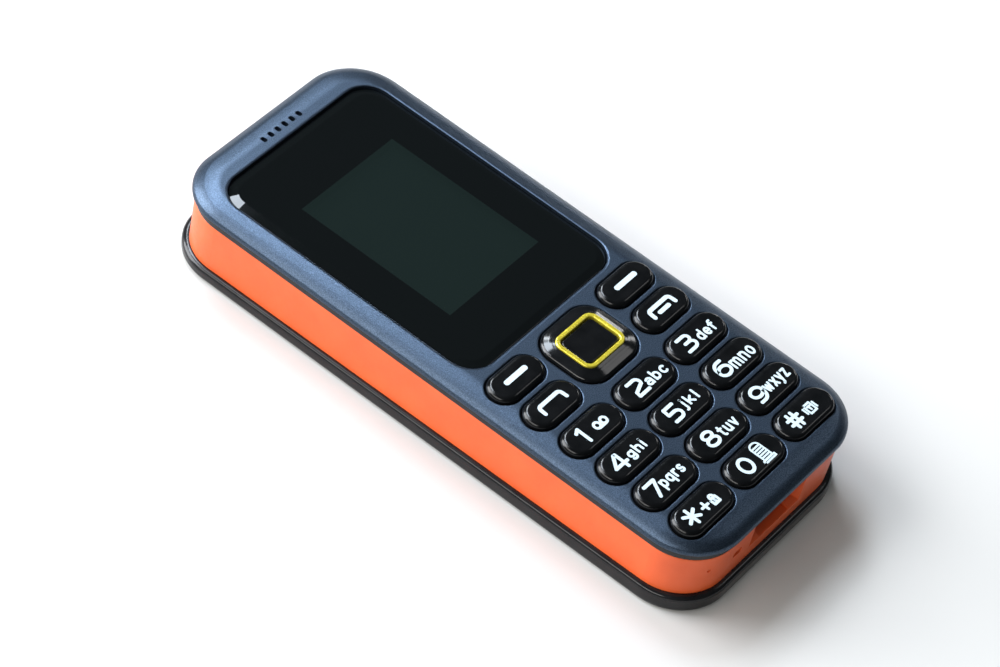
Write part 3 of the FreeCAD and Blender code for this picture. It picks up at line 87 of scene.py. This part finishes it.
class Finish:
    """A procedural material with one principled shader."""

    def __init__(self, name, **sockets):
        self.material = bpy.data.materials.new(name)
        self.material.use_nodes = True
        self.tree = self.material.node_tree
        self.shader = self.tree.nodes["Principled BSDF"]
        for socket, value in sockets.items():
            self.feed(socket.replace("_", " "), value)

    def feed(self, socket, value):
        self.join(self.shader.inputs[socket], value)

    def join(self, socket, value):
        if isinstance(value, Signal):
            self.tree.links.new(value.socket, socket)
        else:
            socket.default_value = value

    def node(self, kind, settings=None, values=(), output=0):
        """Add any node. The values or links of its sockets go by number or by name."""
        made = self.tree.nodes.new(kind)
        for name, setting in (settings or {}).items():
            if name == "stops":
                ramp = made.color_ramp.elements
                while len(ramp) < len(setting):
                    ramp.new(0.5)
                for stop, (place, colour) in zip(ramp, setting):
                    stop.position = place
                    stop.color = (*colour, 1)
            else:
                setattr(made, name, setting)
        sockets = values.items() if isinstance(values, dict) else enumerate(values)
        for name, value in sockets:
            self.join(made.inputs[name], value)
        return Signal(self, made.outputs[output])

    def place(self):
        return self.node("ShaderNodeTexCoord", output="Object")

    def along(self, axis):
        return self.node("ShaderNodeSeparateXYZ", values=[self.place()], output="XYZ".index(axis))

    def grain(self, size, detail=2.0):
        """Noise whose features are about this size, in millimetres."""
        values = {"Vector": self.place(), "Scale": 1 / (size * MM), "Detail": detail}
        return self.node("ShaderNodeTexNoise", values=values, output="Fac")

    def tint(self, amount, low, high):
        """A colour between two, over the middle part of noise's range."""
        return self.node("ShaderNodeValToRGB", {"stops": [(0.3, low), (0.7, high)]}, [amount])

    def vector(self, operation, *values, output=0):
        return self.node("ShaderNodeVectorMath", {"operation": operation}, list(values), output)

    def outside(self, place, low, high, corner):
        """How far a place is outside a rounded rectangle, whatever its height. Inside it's negative."""
        middle = (low + high) / 2
        half = (high - low) / 2
        past = self.vector("ABSOLUTE", self.vector("SUBTRACT", place, (middle.x, middle.y, 0)))
        past = self.vector("SUBTRACT", past, (half.x - corner, half.y - corner, 1))
        return self.vector("LENGTH", self.vector("MAXIMUM", past, (0, 0, 0)), output=1) - corner

    def bump(self, height, depth=1.0):
        """Relief whose height is in millimetres, or runs from 0 to 1 over a depth in millimetres."""
        values = {"Height": height, "Strength": 1.0, "Distance": depth * MM}
        self.feed("Normal", self.node("ShaderNodeBump", values=values))

    def on(self, *names):
        for name in names:
            nodes[name].data.materials.clear()
            nodes[name].data.materials.append(self.material)


strip = Finish("polished_black_moulding", IOR=1.36)
haze = strip.grain(3.0)
strip.feed("Base Color", strip.tint(haze, (0.010, 0.010, 0.011), (0.016, 0.015, 0.015)))
strip.feed("Roughness", 0.14 + haze * 0.12)
strip.bump(strip.grain(0.4), 0.004)
strip.on("chassis")

# ---- Side band
# The coloured hoop round the sides, moulded in solid orange with a satin surface. It drops
# over the chassis from behind and carries the port's scoop, the strap slot and the end holes.
band = Finish("satin_orange_moulding")
cloud = band.grain(6.0)
band.feed("Base Color", band.tint(cloud, (0.74, 0.100, 0.017), (0.81, 0.118, 0.023)))
band.feed("Roughness", 0.34 + band.grain(0.7) * 0.16)
band.bump(band.grain(0.16), 0.004)
band.on("side_band")

# ---- Board, sockets and sounders
# A green circuit board with the sockets, the microphone and the screening cans soldered under
# it. The contacts, the motor, the loudspeaker and the antenna's carrier sit in the chassis
# behind it. Some show through their openings, and more with the battery cover off.
board = Finish("green_board", Roughness=0.4, Coat_Weight=0.4)
board.feed("Base Color", board.tint(board.grain(1.4, 6.0), (0.006, 0.05, 0.02), (0.02, 0.13, 0.05)))
board.bump(board.grain(0.5), 0.01)
board.on("main_board")

plated = Finish("plated_sheet_metal", Metallic=1.0)
brush = plated.grain(0.25, 4.0)
plated.feed("Base Color", plated.tint(brush, (0.52, 0.52, 0.50), (0.68, 0.68, 0.66)))
plated.feed("Roughness", 0.24 + brush * 0.2)
plated.bump(brush, 0.003)
plated.on("display_frame", "microphone", "vibration_motor", "usb_socket", "sim_sockets")
plated.on("memory_card_socket", "shield_cans")

gilt = Finish("gilt_contacts", Metallic=0.9)
gilt.feed("Base Color", gilt.tint(gilt.grain(0.3), (0.62, 0.42, 0.12), (0.78, 0.56, 0.2)))
gilt.feed("Roughness", 0.25 + gilt.grain(0.5) * 0.2)
gilt.on("battery_contacts")

steel = Finish("blackened_steel", Metallic=1.0)
steel.feed("Base Color", steel.tint(steel.grain(0.3), (0.10, 0.10, 0.11), (0.2, 0.2, 0.21)))
steel.feed("Roughness", 0.3 + steel.grain(0.5) * 0.2)
steel.on("case_screws")

eroded = Finish("eroded_black_moulding")
eroded.feed("Base Color", eroded.tint(eroded.grain(0.6), (0.012, 0.012, 0.013), (0.026, 0.026, 0.028)))
eroded.feed("Roughness", 0.45 + eroded.grain(0.3) * 0.2)
eroded.bump(eroded.grain(0.12), 0.01)
eroded.on("audio_jack", "loudspeaker", "earpiece_speaker", "antenna_carrier")

mesh = Finish("woven_mesh", Roughness=0.8)
weave = mesh.node("ShaderNodeTexVoronoi", values={"Vector": mesh.place(), "Scale": 1 / (0.14 * MM)})
mesh.feed("Base Color", mesh.tint(weave, (0.03, 0.03, 0.03), (0.006, 0.006, 0.006)))
mesh.bump(weave, 0.03)
mesh.on("earpiece_mesh")

# ---- Torch
# A clear moulded lens, set in a bore at the earpiece end of the band. The small flanged
# lamp behind it sits in the chassis' end wall.
clear = Finish("clear_moulding", IOR=1.49, Transmission_Weight=0.9)
clear.feed("Base Color", clear.tint(clear.grain(1.0), (0.86, 0.88, 0.90), (0.94, 0.95, 0.96)))
clear.feed("Roughness", 0.04 + clear.grain(0.5) * 0.06)
clear.on("torch_lens", "torch_led")

# ---- Display
# A grey-green glass display in a pressed frame, with foam round it, under a lens of clear
# plastic. The lens is bevelled, and printed black on its back apart from the window.
panel = Finish("unlit_display", Roughness=0.25)
panel.feed("Base Color", panel.tint(panel.grain(9.0), (0.024, 0.033, 0.030), (0.029, 0.039, 0.035)))
panel.bump(panel.grain(0.3), 0.001)
panel.on("display_panel")

foam = Finish("open_foam", Roughness=0.95)
foam.feed("Base Color", foam.tint(foam.grain(0.3), (0.01, 0.01, 0.01), (0.03, 0.03, 0.03)))
foam.bump(foam.grain(0.2), 0.05)
foam.on("display_gasket", "lens_tape")

lens = Finish("printed_lens", IOR=1.42)
WINDOW_WIDTH = 23.1 * MM
WINDOW_LENGTH = 30.9 * MM
WINDOW_Y = 20.7 * MM
WINDOW_BLUR = 0.2 * MM
WINDOW_ALPHA = 0.72
across = (lens.along("X").size() - WINDOW_WIDTH / 2) / WINDOW_BLUR
endways = ((lens.along("Y") - WINDOW_Y).size() - WINDOW_LENGTH / 2) / WINDOW_BLUR
print_edge = across.larger(endways).clamp()
lens.feed("Base Color", lens.tint(print_edge, (0.0080, 0.0140, 0.0128), (0.0028, 0.0036, 0.0038)))
lens.feed("Roughness", 0.02 + lens.grain(8.0) * 0.03)
lens.feed("Alpha", WINDOW_ALPHA + print_edge * (1 - WINDOW_ALPHA))
# The solid's bevel is flat. The relief buffs its outer rim round.
LENS_CORNER = 4.78 * MM
BUFF_WIDTH = 0.28 * MM
BUFF_DROP = 0.24
low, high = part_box("display_lens")
buffed = (1 + lens.outside(lens.place(), low, high, LENS_CORNER) / BUFF_WIDTH).clamp()
lens.bump(0 - buffed * buffed * BUFF_DROP)
lens.on("display_lens")

# ---- Keypad mat and dome sheet
# A pale silicone mat that the keys' stems go through, and a collar of the same silicone under
# the navigation ring. Below them a film holds the metal domes on the board.
silicone = Finish("pale_silicone", Roughness=0.6, Subsurface_Weight=0.2)
silicone.feed("Base Color", silicone.tint(silicone.grain(2.0), (0.42, 0.44, 0.46), (0.5, 0.52, 0.54)))
silicone.bump(silicone.grain(0.3), 0.01)
silicone.on("keypad_mat", "nav_collar")

film = Finish("dome_film", Roughness=0.3, Metallic=0.3)
film.feed("Base Color", film.tint(film.grain(2.0), (0.55, 0.57, 0.6), (0.65, 0.67, 0.7)))
film.on("dome_sheet")

# ---- Keys
# Gloss black moulded caps, each with a lip caught behind the front cover and a stem over its
# dome. The legends are printed in white with rounded strokes, and lie on top of the caps.
gloss = Finish("polished_black_caps", IOR=1.38)
breath = gloss.grain(2.5)
gloss.feed("Base Color", gloss.tint(breath, (0.0025, 0.0027, 0.0031), (0.0045, 0.0047, 0.0052)))
gloss.feed("Roughness", 0.12 + breath * 0.10)
gloss.bump(gloss.grain(0.8), 0.001)

ink = Finish("white_print", Roughness=0.35)
ink.feed("Base Color", ink.tint(ink.grain(0.25), (0.50, 0.60, 0.65), (0.56, 0.67, 0.72)))
ink.bump(ink.grain(0.1), 0.003)


def bow(x, y, across, up, start, end):
    """Points about 15 degrees apart along part of an ellipse, from one angle to another."""
    steps = max(3, round(abs(end - start) / 15))
    angles = [math.radians(start + (end - start) * step / steps) for step in range(steps + 1)]
    return [(x + across * math.cos(angle), y + up * math.sin(angle)) for angle in angles]


# Numbers are drawn in a box 0.8 wide and 1 high about the origin, letters on a baseline with
# an x height of 1.
NUMBERS = {
    "0": [bow(0, 0, 0.39, 0.5, 90, 450)],
    "1": [[(-0.22, 0.33), (0.06, 0.5), (0.04, -0.5)]],
    "2": [[(-0.4, 0.5), (0.1, 0.5), *bow(0.1, 0.22, 0.28, 0.28, 80, -35), (-0.36, -0.22),
           (-0.4, -0.5), (0.4, -0.5)]],
    "3": [[(-0.4, 0.5), (0.1, 0.5), *bow(0.1, 0.26, 0.27, 0.24, 80, -90), (-0.18, 0.02)],
          [(0.1, 0.02), *bow(0.1, -0.24, 0.3, 0.26, 80, -90), (-0.42, -0.5)]],
    "4": [[(0.22, -0.5), (0.22, 0.5), (0.1, 0.5), (-0.46, -0.2), (0.46, -0.2)]],
    "5": [[(0.36, 0.5), (-0.34, 0.5), (-0.38, 0.06), (0.08, 0.06),
           *bow(0.08, -0.22, 0.3, 0.28, 80, -90), (-0.4, -0.5)]],
    "6": [[(0.30, 0.5), *bow(0.02, 0.08, 0.42, 0.42, 95, 180), *bow(0, -0.17, 0.40, 0.33, 180, 540)]],
    "7": [[(-0.4, 0.5), (0.38, 0.5), (-0.16, -0.5)]],
    "8": [bow(0, 0.26, 0.33, 0.24, -90, 270), bow(0, -0.23, 0.39, 0.27, 90, 450)],
    "9": [[(-0.30, -0.5), *bow(-0.02, -0.08, 0.42, 0.42, -85, 0), *bow(0, 0.17, 0.40, 0.33, 0, 360)]],
    "*": [[(0, 0.5), (0, -0.5)], [(-0.42, 0.27), (0.42, -0.27)], [(-0.42, -0.27), (0.42, 0.27)]],
    "#": [[(-0.17, 0.5), (-0.17, -0.5)], [(0.17, 0.5), (0.17, -0.5)], [(-0.42, 0.19), (0.42, 0.19)],
          [(-0.42, -0.19), (0.42, -0.19)]],
}
# Each letter's width comes before its strokes.
LETTERS = {
    "a": (0.62, [[(0.08, 0.9), *bow(0.3, 0.66, 0.32, 0.34, 100, 0), (0.62, 0)],
                 bow(0.3, 0.28, 0.32, 0.28, 20, 380)]),
    "b": (0.64, [[(0, 1.5), (0, 0.02)], bow(0.32, 0.5, 0.32, 0.5, 180, 540)]),
    "c": (0.56, [bow(0.33, 0.5, 0.33, 0.5, 50, 310)]),
    "d": (0.64, [[(0.64, 1.5), (0.64, 0.02)], bow(0.32, 0.5, 0.32, 0.5, 0, 360)]),
    "e": (0.62, [[(0.02, 0.5), (0.62, 0.5), *bow(0.32, 0.5, 0.32, 0.5, 10, 310)]]),
    "f": (0.42, [[(0.44, 1.48), *bow(0.34, 1.2, 0.22, 0.28, 100, 180), (0.12, 0)],
                 [(-0.06, 1.0), (0.4, 1.0)]]),
    "g": (0.64, [bow(0.32, 0.56, 0.32, 0.44, 0, 360),
                 [(0.64, 1.0), (0.64, 0), *bow(0.34, -0.08, 0.3, 0.34, -20, -150)]]),
    "h": (0.6, [[(0, 1.5), (0, 0)], [*bow(0.3, 0.68, 0.3, 0.32, 170, 0), (0.6, 0)]]),
    "i": (0.08, [[(0.04, 1.0), (0.04, 0)], [(0.04, 1.44), (0.04, 1.5)]]),
    "j": (0.16, [[(0.14, 1.0), (0.14, -0.2), *bow(-0.04, -0.2, 0.18, 0.2, -20, -100)],
                 [(0.14, 1.44), (0.14, 1.5)]]),
    "k": (0.58, [[(0, 1.5), (0, 0)], [(0.54, 1.0), (0.06, 0.42)], [(0.2, 0.58), (0.58, 0)]]),
    "l": (0.08, [[(0.04, 1.5), (0.04, 0)]]),
    "m": (1.0, [[(0, 1.0), (0, 0)], [*bow(0.25, 0.7, 0.25, 0.3, 170, 0), (0.5, 0)],
                [*bow(0.75, 0.7, 0.25, 0.3, 170, 0), (1.0, 0)]]),
    "n": (0.58, [[(0, 1.0), (0, 0)], [*bow(0.29, 0.68, 0.29, 0.32, 170, 0), (0.58, 0)]]),
    "o": (0.6, [bow(0.3, 0.5, 0.3, 0.5, 60, 420)]),
    "p": (0.64, [[(0, 1.0), (0, -0.5)], bow(0.32, 0.5, 0.32, 0.5, 180, 540)]),
    "q": (0.64, [[(0.64, 1.0), (0.64, -0.5)], bow(0.32, 0.5, 0.32, 0.5, 0, 360)]),
    "r": (0.38, [[(0, 1.0), (0, 0)], bow(0.32, 0.6, 0.32, 0.4, 175, 75)]),
    "s": (0.52, [[*bow(0.27, 0.75, 0.25, 0.25, 40, 250), *bow(0.25, 0.25, 0.27, 0.26, 70, -150)]]),
    "t": (0.4, [[(0.14, 1.36), (0.14, 0.25), *bow(0.34, 0.25, 0.2, 0.25, 190, 280)],
                [(-0.08, 1.0), (0.38, 1.0)]]),
    "u": (0.58, [[(0, 1.0), *bow(0.29, 0.32, 0.29, 0.32, 180, 350)], [(0.58, 1.0), (0.58, 0)]]),
    "v": (0.6, [[(0, 1.0), (0.3, 0.02), (0.6, 1.0)]]),
    "w": (0.92, [[(0, 1.0), (0.23, 0.02), (0.46, 0.9), (0.69, 0.02), (0.92, 1.0)]]),
    "x": (0.58, [[(0, 1.0), (0.58, 0)], [(0, 0), (0.58, 1.0)]]),
    "y": (0.6, [[(0, 1.0), (0.32, 0.05)], [(0.6, 1.0), (0.22, -0.3), (0.04, -0.42)]]),
    "z": (0.54, [[(0, 1.0), (0.52, 1.0), (0, 0), (0.54, 0)]]),
}


def write_number(sign, x):
    """Strokes of one large number or sign beside the middle of its key."""
    unit_across = 3.1
    unit_up = 2.85
    rise = 0.05
    return [[(x + a * unit_across, rise + b * unit_up) for a, b in stroke] for stroke in NUMBERS[sign]]


def write_letters(text, left, right, base, x_height):
    """Strokes of small letters that fill the room between two places on a key."""
    gap = 0.46
    length = sum(LETTERS[letter][0] for letter in text) + gap * (len(text) - 1)
    scale = (right - left) / length
    strokes = []
    x = left
    for letter in text:
        width, drawn = LETTERS[letter]
        strokes += [[(x + a * scale, base + b * x_height) for a, b in stroke] for stroke in drawn]
        x += (width + gap) * scale
    return strokes


def ribbon(shape, points, loop, width, height):
    """One flat strip along points that turn gently."""
    if loop:
        first, last = points[-2], points[1]
    else:
        first, last = points[0] * 2 - points[1], points[-1] * 2 - points[-2]
    line = [first, *points, last]
    sides = []
    for before, point, after in zip(line, line[1:], line[2:]):
        along = (point - before).normalized() + (after - point).normalized()
        normal = Vector((-along.y, along.x)).normalized() * width / 2
        sides.append([shape.verts.new((*(point + side * normal), height)) for side in (1, -1)])
    for (left, right), (next_left, next_right) in zip(sides, sides[1:]):
        shape.faces.new([left, right, next_right, next_left])


SHARP_TURN = math.radians(35)
INK_LAYER = 0.0012


def draw_strokes(shape, strokes, width, z):
    """Lay flat strokes with round ends and corners, in millimetres. Those that cross lie in layers."""
    layer = 0
    for stroke in strokes:
        points = [Vector(point) for point in stroke]
        steps = [after - before for before, after in zip(points, points[1:])]
        inner = [index for index in range(1, len(steps))
                 if steps[index - 1].angle(steps[index]) > SHARP_TURN]
        loop = not inner and (points[0] - points[-1]).length < 1e-3
        turns = [0, *inner, len(points) - 1]
        for start, end in zip(turns, turns[1:]):
            layer += 1
            ribbon(shape, points[start:end + 1], loop, width, z + layer * INK_LAYER)
        layer += 1
        if not loop:
            # A dot stops 15 degrees short, because the next point would be its first again.
            for index in turns:
                dot = bow(*points[index], width / 2, width / 2, 0, 345)
                shape.faces.new([shape.verts.new((a, b, z + layer * INK_LAYER)) for a, b in dot])


def add_object(name, data):
    made = bpy.data.objects.new(name, data)
    bpy.context.collection.objects.link(made)
    return made


def finish_shape(name, shape, finish):
    """Make a drawn shape an object with one finish."""
    data = bpy.data.meshes.new(name)
    shape.to_mesh(data)
    shape.free()
    data.materials.append(finish.material)
    return add_object(name, data)


# Each key's number, and where its middle lies from the key's middle, in millimetres.
LARGE = {
    "key_1": ("1", -2.45), "key_2": ("2", -2.0), "key_3": ("3", -2.5), "key_4": ("4", -2.7),
    "key_5": ("5", -2.0), "key_6": ("6", -2.7), "key_7": ("7", -2.75), "key_8": ("8", -2.0),
    "key_9": ("9", -2.75), "key_star": ("*", -2.95), "key_0": ("0", -2.35), "key_hash": ("#", -2.8),
}
# The letters beside it, with their left and right ends, baseline and x height.
SMALL = {
    "key_2": ("abc", -0.15, 4.5, -1.13, 1.25),
    "key_3": ("def", -0.1, 3.9, -1.25, 1.25),
    "key_4": ("ghi", -0.4, 3.35, -0.86, 1.1),
    "key_5": ("jkl", 0.35, 3.8, -0.70, 1.15),
    "key_6": ("mno", -0.8, 4.45, -1.46, 1.58),
    "key_7": ("pqrs", -1.25, 4.0, -0.79, 1.25),
    "key_8": ("tuv", 0.25, 4.1, -1.22, 1.385),
    "key_9": ("wxyz", -0.95, 4.6, -0.90, 1.45),
}
HANDSET = [[(-2.75, -0.72), (-2.7, 0.19), *bow(-2.05, 0.19, 0.65, 0.62, 165, 90),
            *bow(2.05, 0.19, 0.65, 0.62, 90, 15), (2.7, 0.19), (2.75, -0.72)]]
# The other signs, with the width of their strokes: a tape, a plus and a padlock, a bell, a
# shaking phone, a bar on each soft key and the two handsets.
SIGNS = {
    "key_1": (0.5, [bow(0.8, -0.2, 0.6, 0.62, -90, 270), bow(2.45, -0.2, 0.6, 0.62, -90, 270),
                    [(0.8, -0.84), (2.45, -0.84)]]),
    "key_star": (0.5, [[(-0.5, -0.2), (1.0, -0.2)], [(0.25, 0.53), (0.25, -0.91)],
                       [(1.75, 0.0), (1.75, -1.1), (3.05, -1.1), (3.05, 0.0), (1.75, 0.0)],
                       [(1.95, 0.0), *bow(2.4, 0.2, 0.42, 0.42, 180, 0), (2.85, 0.0)],
                       [(2.4, -0.4), (2.4, -0.77)]]),
    "key_0": (0.34, [[(0.75, -1.4), *bow(1.78, 1.25, 1.03, 0.82, 180, 0), (2.81, -1.4)],
                     *[[(0.95, 1.2 - 0.53 * rung), (2.6, 1.2 - 0.53 * rung)] for rung in range(6)],
                     [(0.4, -1.97), (0.4, -1.54), (3.15, -1.54), (3.15, -1.97), (0.4, -1.97)]]),
    "key_hash": (0.4, [[(0.35, 0.72), (1.85, 0.72), (1.85, -1.06), (0.35, -1.06), (0.35, 0.72)],
                       [(-0.15, 0.38), (-0.15, -0.72)], [(2.35, 0.38), (2.35, -0.72)],
                       [(0.75, 0.19), (1.45, 0.19)], [(1.1, 0.0), (1.1, -0.53)]]),
    "soft_key_left": (1.0, [[(-2.2, 0.2), (2.4, 0.2)]]),
    "soft_key_right": (1.0, [[(-2.2, 0.2), (2.4, 0.2)]]),
    "call_key": (0.72, HANDSET),
    "end_key": (0.78, [*HANDSET, [(-1.2, -0.53), (1.2, -0.53)]]),
}
NUMBER_STROKE = 0.62
LETTER_STROKE = 0.44
INK_LIFT = 0.012
for key in sorted({*LARGE, *SIGNS}):
    low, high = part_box(key)
    middle = (low + high) / 2 / MM
    top = high.z / MM + INK_LIFT
    shape = bmesh.new()
    if key in LARGE:
        draw_strokes(shape, write_number(*LARGE[key]), NUMBER_STROKE, top)
    if key in SMALL:
        draw_strokes(shape, write_letters(*SMALL[key]), LETTER_STROKE, top)
    if key in SIGNS:
        sign_stroke, sign = SIGNS[key]
        draw_strokes(shape, sign, sign_stroke, top)
    onto_key = Matrix.Scale(MM, 4) @ Matrix.Translation((middle.x, middle.y, 0))
    bmesh.ops.transform(shape, matrix=onto_key, verts=shape.verts)
    bmesh.ops.recalc_face_normals(shape, faces=shape.faces)
    legend = finish_shape(f"legend_{key}", shape, ink)
    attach(legend, key)
    gloss.on(key)

# ---- Navigation ring, trim and select key
# A gloss black rocker that stands on its silicone collar, with a bright yellow plated bead
# pressed into its rebate. The select key is a cap like the others, in the middle of it.
gloss.on("select_key")

crown = Finish("polished_black_ring", IOR=1.45)
crown.feed("Base Color", crown.tint(crown.grain(2.5), (0.0025, 0.0027, 0.0031), (0.0045, 0.0047, 0.0052)))
crown.feed("Roughness", 0.10 + crown.grain(2.5) * 0.08)
# The solid's slope rounds off level over a brow before the bead. The relief carries the slope
# on over that brow, as far as the bead. It's measured from the ring's foot, inside the lip
# that the cover hides.
LIP = Vector((0.45, 0.45, 0)) * MM
FOOT_CORNER = 4.15 * MM
BROW_START = 1.176
BROW_WIDTH = 0.648
BROW_RISE = 0.131
SLOPE = 0.404
low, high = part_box("nav_ring")
inwards = 0 - crown.outside(crown.place(), low + LIP, high - LIP, FOOT_CORNER) / MM
brow = ((inwards - BROW_START) / BROW_WIDTH).clamp()
past_brow = (inwards - (BROW_START + BROW_WIDTH)).larger(0)
crown.bump(brow * brow * BROW_RISE + past_brow * SLOPE)
crown.on("nav_ring")

bead = Finish("yellow_bead", Metallic=0.55, Coat_Weight=0.6)
bead.feed("Base Color", bead.tint(bead.grain(1.5), (0.62, 0.50, 0.035), (0.78, 0.66, 0.06)))
bead.feed("Roughness", 0.2 + bead.grain(0.5) * 0.12)
bead.bump(bead.grain(0.4), 0.004)
bead.on("nav_trim")

# ---- Front cover
# The one-piece front shell, moulded and sprayed with a satin graphite lacquer that has a fine
# metallic fleck. Four screws through the chassis hold it by its bosses.
lacquer = Finish("graphite_lacquer", Metallic=0.9)
fleck = lacquer.grain(0.16, 1.0)
lacquer.feed("Base Color", lacquer.tint(fleck, (0.026, 0.040, 0.062), (0.070, 0.099, 0.144)))
lacquer.feed("Roughness", 0.34 + lacquer.grain(0.3) * 0.12)
# The solid has a narrow bevel round the keys' and the ring's holes, and a sharp edge round the
# lens' tray. The relief rolls these rims over a wider strip. A hole is given by the piece that
# fills it, how far its edge lies inside that piece's box, and its corner's radius. One half of
# the cover mirrors the other, so the left half's holes aren't listed.
HOLES = [("display_lens", -0.12, 4.9), ("nav_ring", 0.3, 4.3)]
for key in ("key_2", "key_3", "key_5", "key_6", "key_8", "key_9", "key_0", "key_hash",
            "soft_key_right", "end_key"):
    HOLES.append((key, 0.17, 3.11))
sideways = lacquer.along("X").size()
mirrored = lacquer.node("ShaderNodeCombineXYZ", values=[sideways, lacquer.along("Y")])
distances = []
for name, inset, corner in HOLES:
    low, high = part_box(name)
    edge = Vector((inset, inset, 0)) * MM
    distances.append(lacquer.outside(mirrored, low + edge, high - edge, corner * MM))
nearest = distances[0]
for distance in distances[1:]:
    nearest = nearest.smaller(distance)
ROLL_WIDTH = 0.4 * MM
ROLL_DROP = 0.17
roll = (1 - nearest / ROLL_WIDTH).clamp()
# The solid's margin is crowned, and the relief makes it fall away further to the outer edge.
COVER_CORNER = 9.9 * MM
CROWN_WIDTH = 4.5 * MM
CROWN_DROP = 0.55
low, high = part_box("front_cover")
fall = (1 + lacquer.outside(mirrored, low, high, COVER_CORNER) / CROWN_WIDTH).clamp()
SPRAY_RELIEF = 0.009
relief = lacquer.grain(0.12) * SPRAY_RELIEF
lacquer.bump(relief - roll * roll * ROLL_DROP - fall * fall * CROWN_DROP)
lacquer.on("front_cover")

# ---- Battery
# A lithium pack in a pale printed wrap. It lies loose in the chassis' battery bay, next to the
# contacts, and comes out with the back cover off.
wrap = Finish("printed_wrap", Roughness=0.4)
wrap.feed("Base Color", wrap.tint(wrap.grain(4.0), (0.5, 0.51, 0.53), (0.58, 0.59, 0.61)))
wrap.bump(wrap.grain(1.0), 0.02)
wrap.on("battery")

# ---- Back cover
# A polished black moulded dish with a proud rounded rim all round. It clips over the chassis
# behind the side band, and comes straight off.
shell = Finish("polished_black_shell", IOR=1.38)
swirl = shell.grain(3.0)
shell.feed("Base Color", shell.tint(swirl, (0.008, 0.008, 0.009), (0.013, 0.013, 0.014)))
shell.feed("Roughness", 0.14 + swirl * 0.05)
shell.bump(shell.grain(0.6), 0.002)
shell.on("back_cover")

# ---- Floor, light and camera
# A plain pale table under the phone, soft oblong lamps round it, and a camera that looks down
# on its front and left side. The gaps between the lamps leave the dark parts of the gloss.
FLOOR_REACH = 2.5
floor_shape = bmesh.new()
bmesh.ops.create_grid(floor_shape, x_segments=1, y_segments=1, size=FLOOR_REACH)
pale = Finish("pale_table", Roughness=0.7)
pale.feed("Base Color", pale.tint(pale.grain(60.0), (0.60, 0.59, 0.57), (0.63, 0.62, 0.60)))
finish_shape("floor", floor_shape, pale)

world = bpy.data.worlds.new("studio")
bpy.context.scene.world = world
world.use_nodes = True
background = world.node_tree.nodes["Background"]
background.inputs["Color"].default_value = (0.74, 0.92, 1.0, 1)
background.inputs["Strength"].default_value = 0.065


def lamp(name, place, width, height, power, colour=(1, 1, 1)):
    """A soft oblong lamp that faces the phone. It's in metres and watts."""
    light = bpy.data.lights.new(name, "AREA")
    light.shape = "RECTANGLE"
    light.size = width
    light.size_y = height
    light.energy = power
    light.color = colour
    holder = add_object(name, light)
    holder.location = place
    holder.rotation_euler = Vector(place).to_track_quat("Z", "Y").to_euler()


lamp("high_window", (0.127, 0.352, 0.535), 0.20, 0.20, 2.6, (0.80, 0.89, 1.0))
lamp("near_window", (0.300, 0.420, 0.460), 0.14, 0.14, 1.5, (0.86, 0.93, 1.0))
lamp("roof_window", (-0.109, 0.230, 0.430), 0.16, 0.13, 0.46, (0.88, 0.93, 1.0))
lamp("wide_window", (-0.52, 1.29, 0.72), 1.0, 1.25, 48, (0.93, 0.96, 1.0))
lamp("left_wall", (-1.07, 0.20, 0.80), 1.6, 0.42, 12.2, (1.0, 0.98, 0.95))
lamp("far_window", (1.04, 0.34, 0.125), 0.11, 0.11, 0.35)
lamp("low_wall", (0.61, -0.27, 0.74), 0.2, 0.2, 0.33)
lamp("right_wall", (0.92, -0.01, 0.385), 0.16, 0.16, 0.6)

camera_data = bpy.data.cameras.new("camera")
camera_data.lens = 144.64
camera_data.sensor_width = 36.0
camera_data.clip_start = 0.01
camera_data.clip_end = 20.0
camera = add_object("camera", camera_data)
right = Vector((0.60893, -0.77384, 0.17428))
up = Vector((0.51533, 0.55296, 0.65473))
back = Vector((-0.60303, -0.30887, 0.73550))
turn = Matrix((right, up, back)).transposed().to_4x4()
stand = Matrix.Translation((-0.393985, -0.200154, 0.485623))
camera.matrix_world = stand @ turn
bpy.context.scene.camera = camera
bpy.context.scene.view_settings.view_transform = "Standard"

bpy.context.view_layer.update()
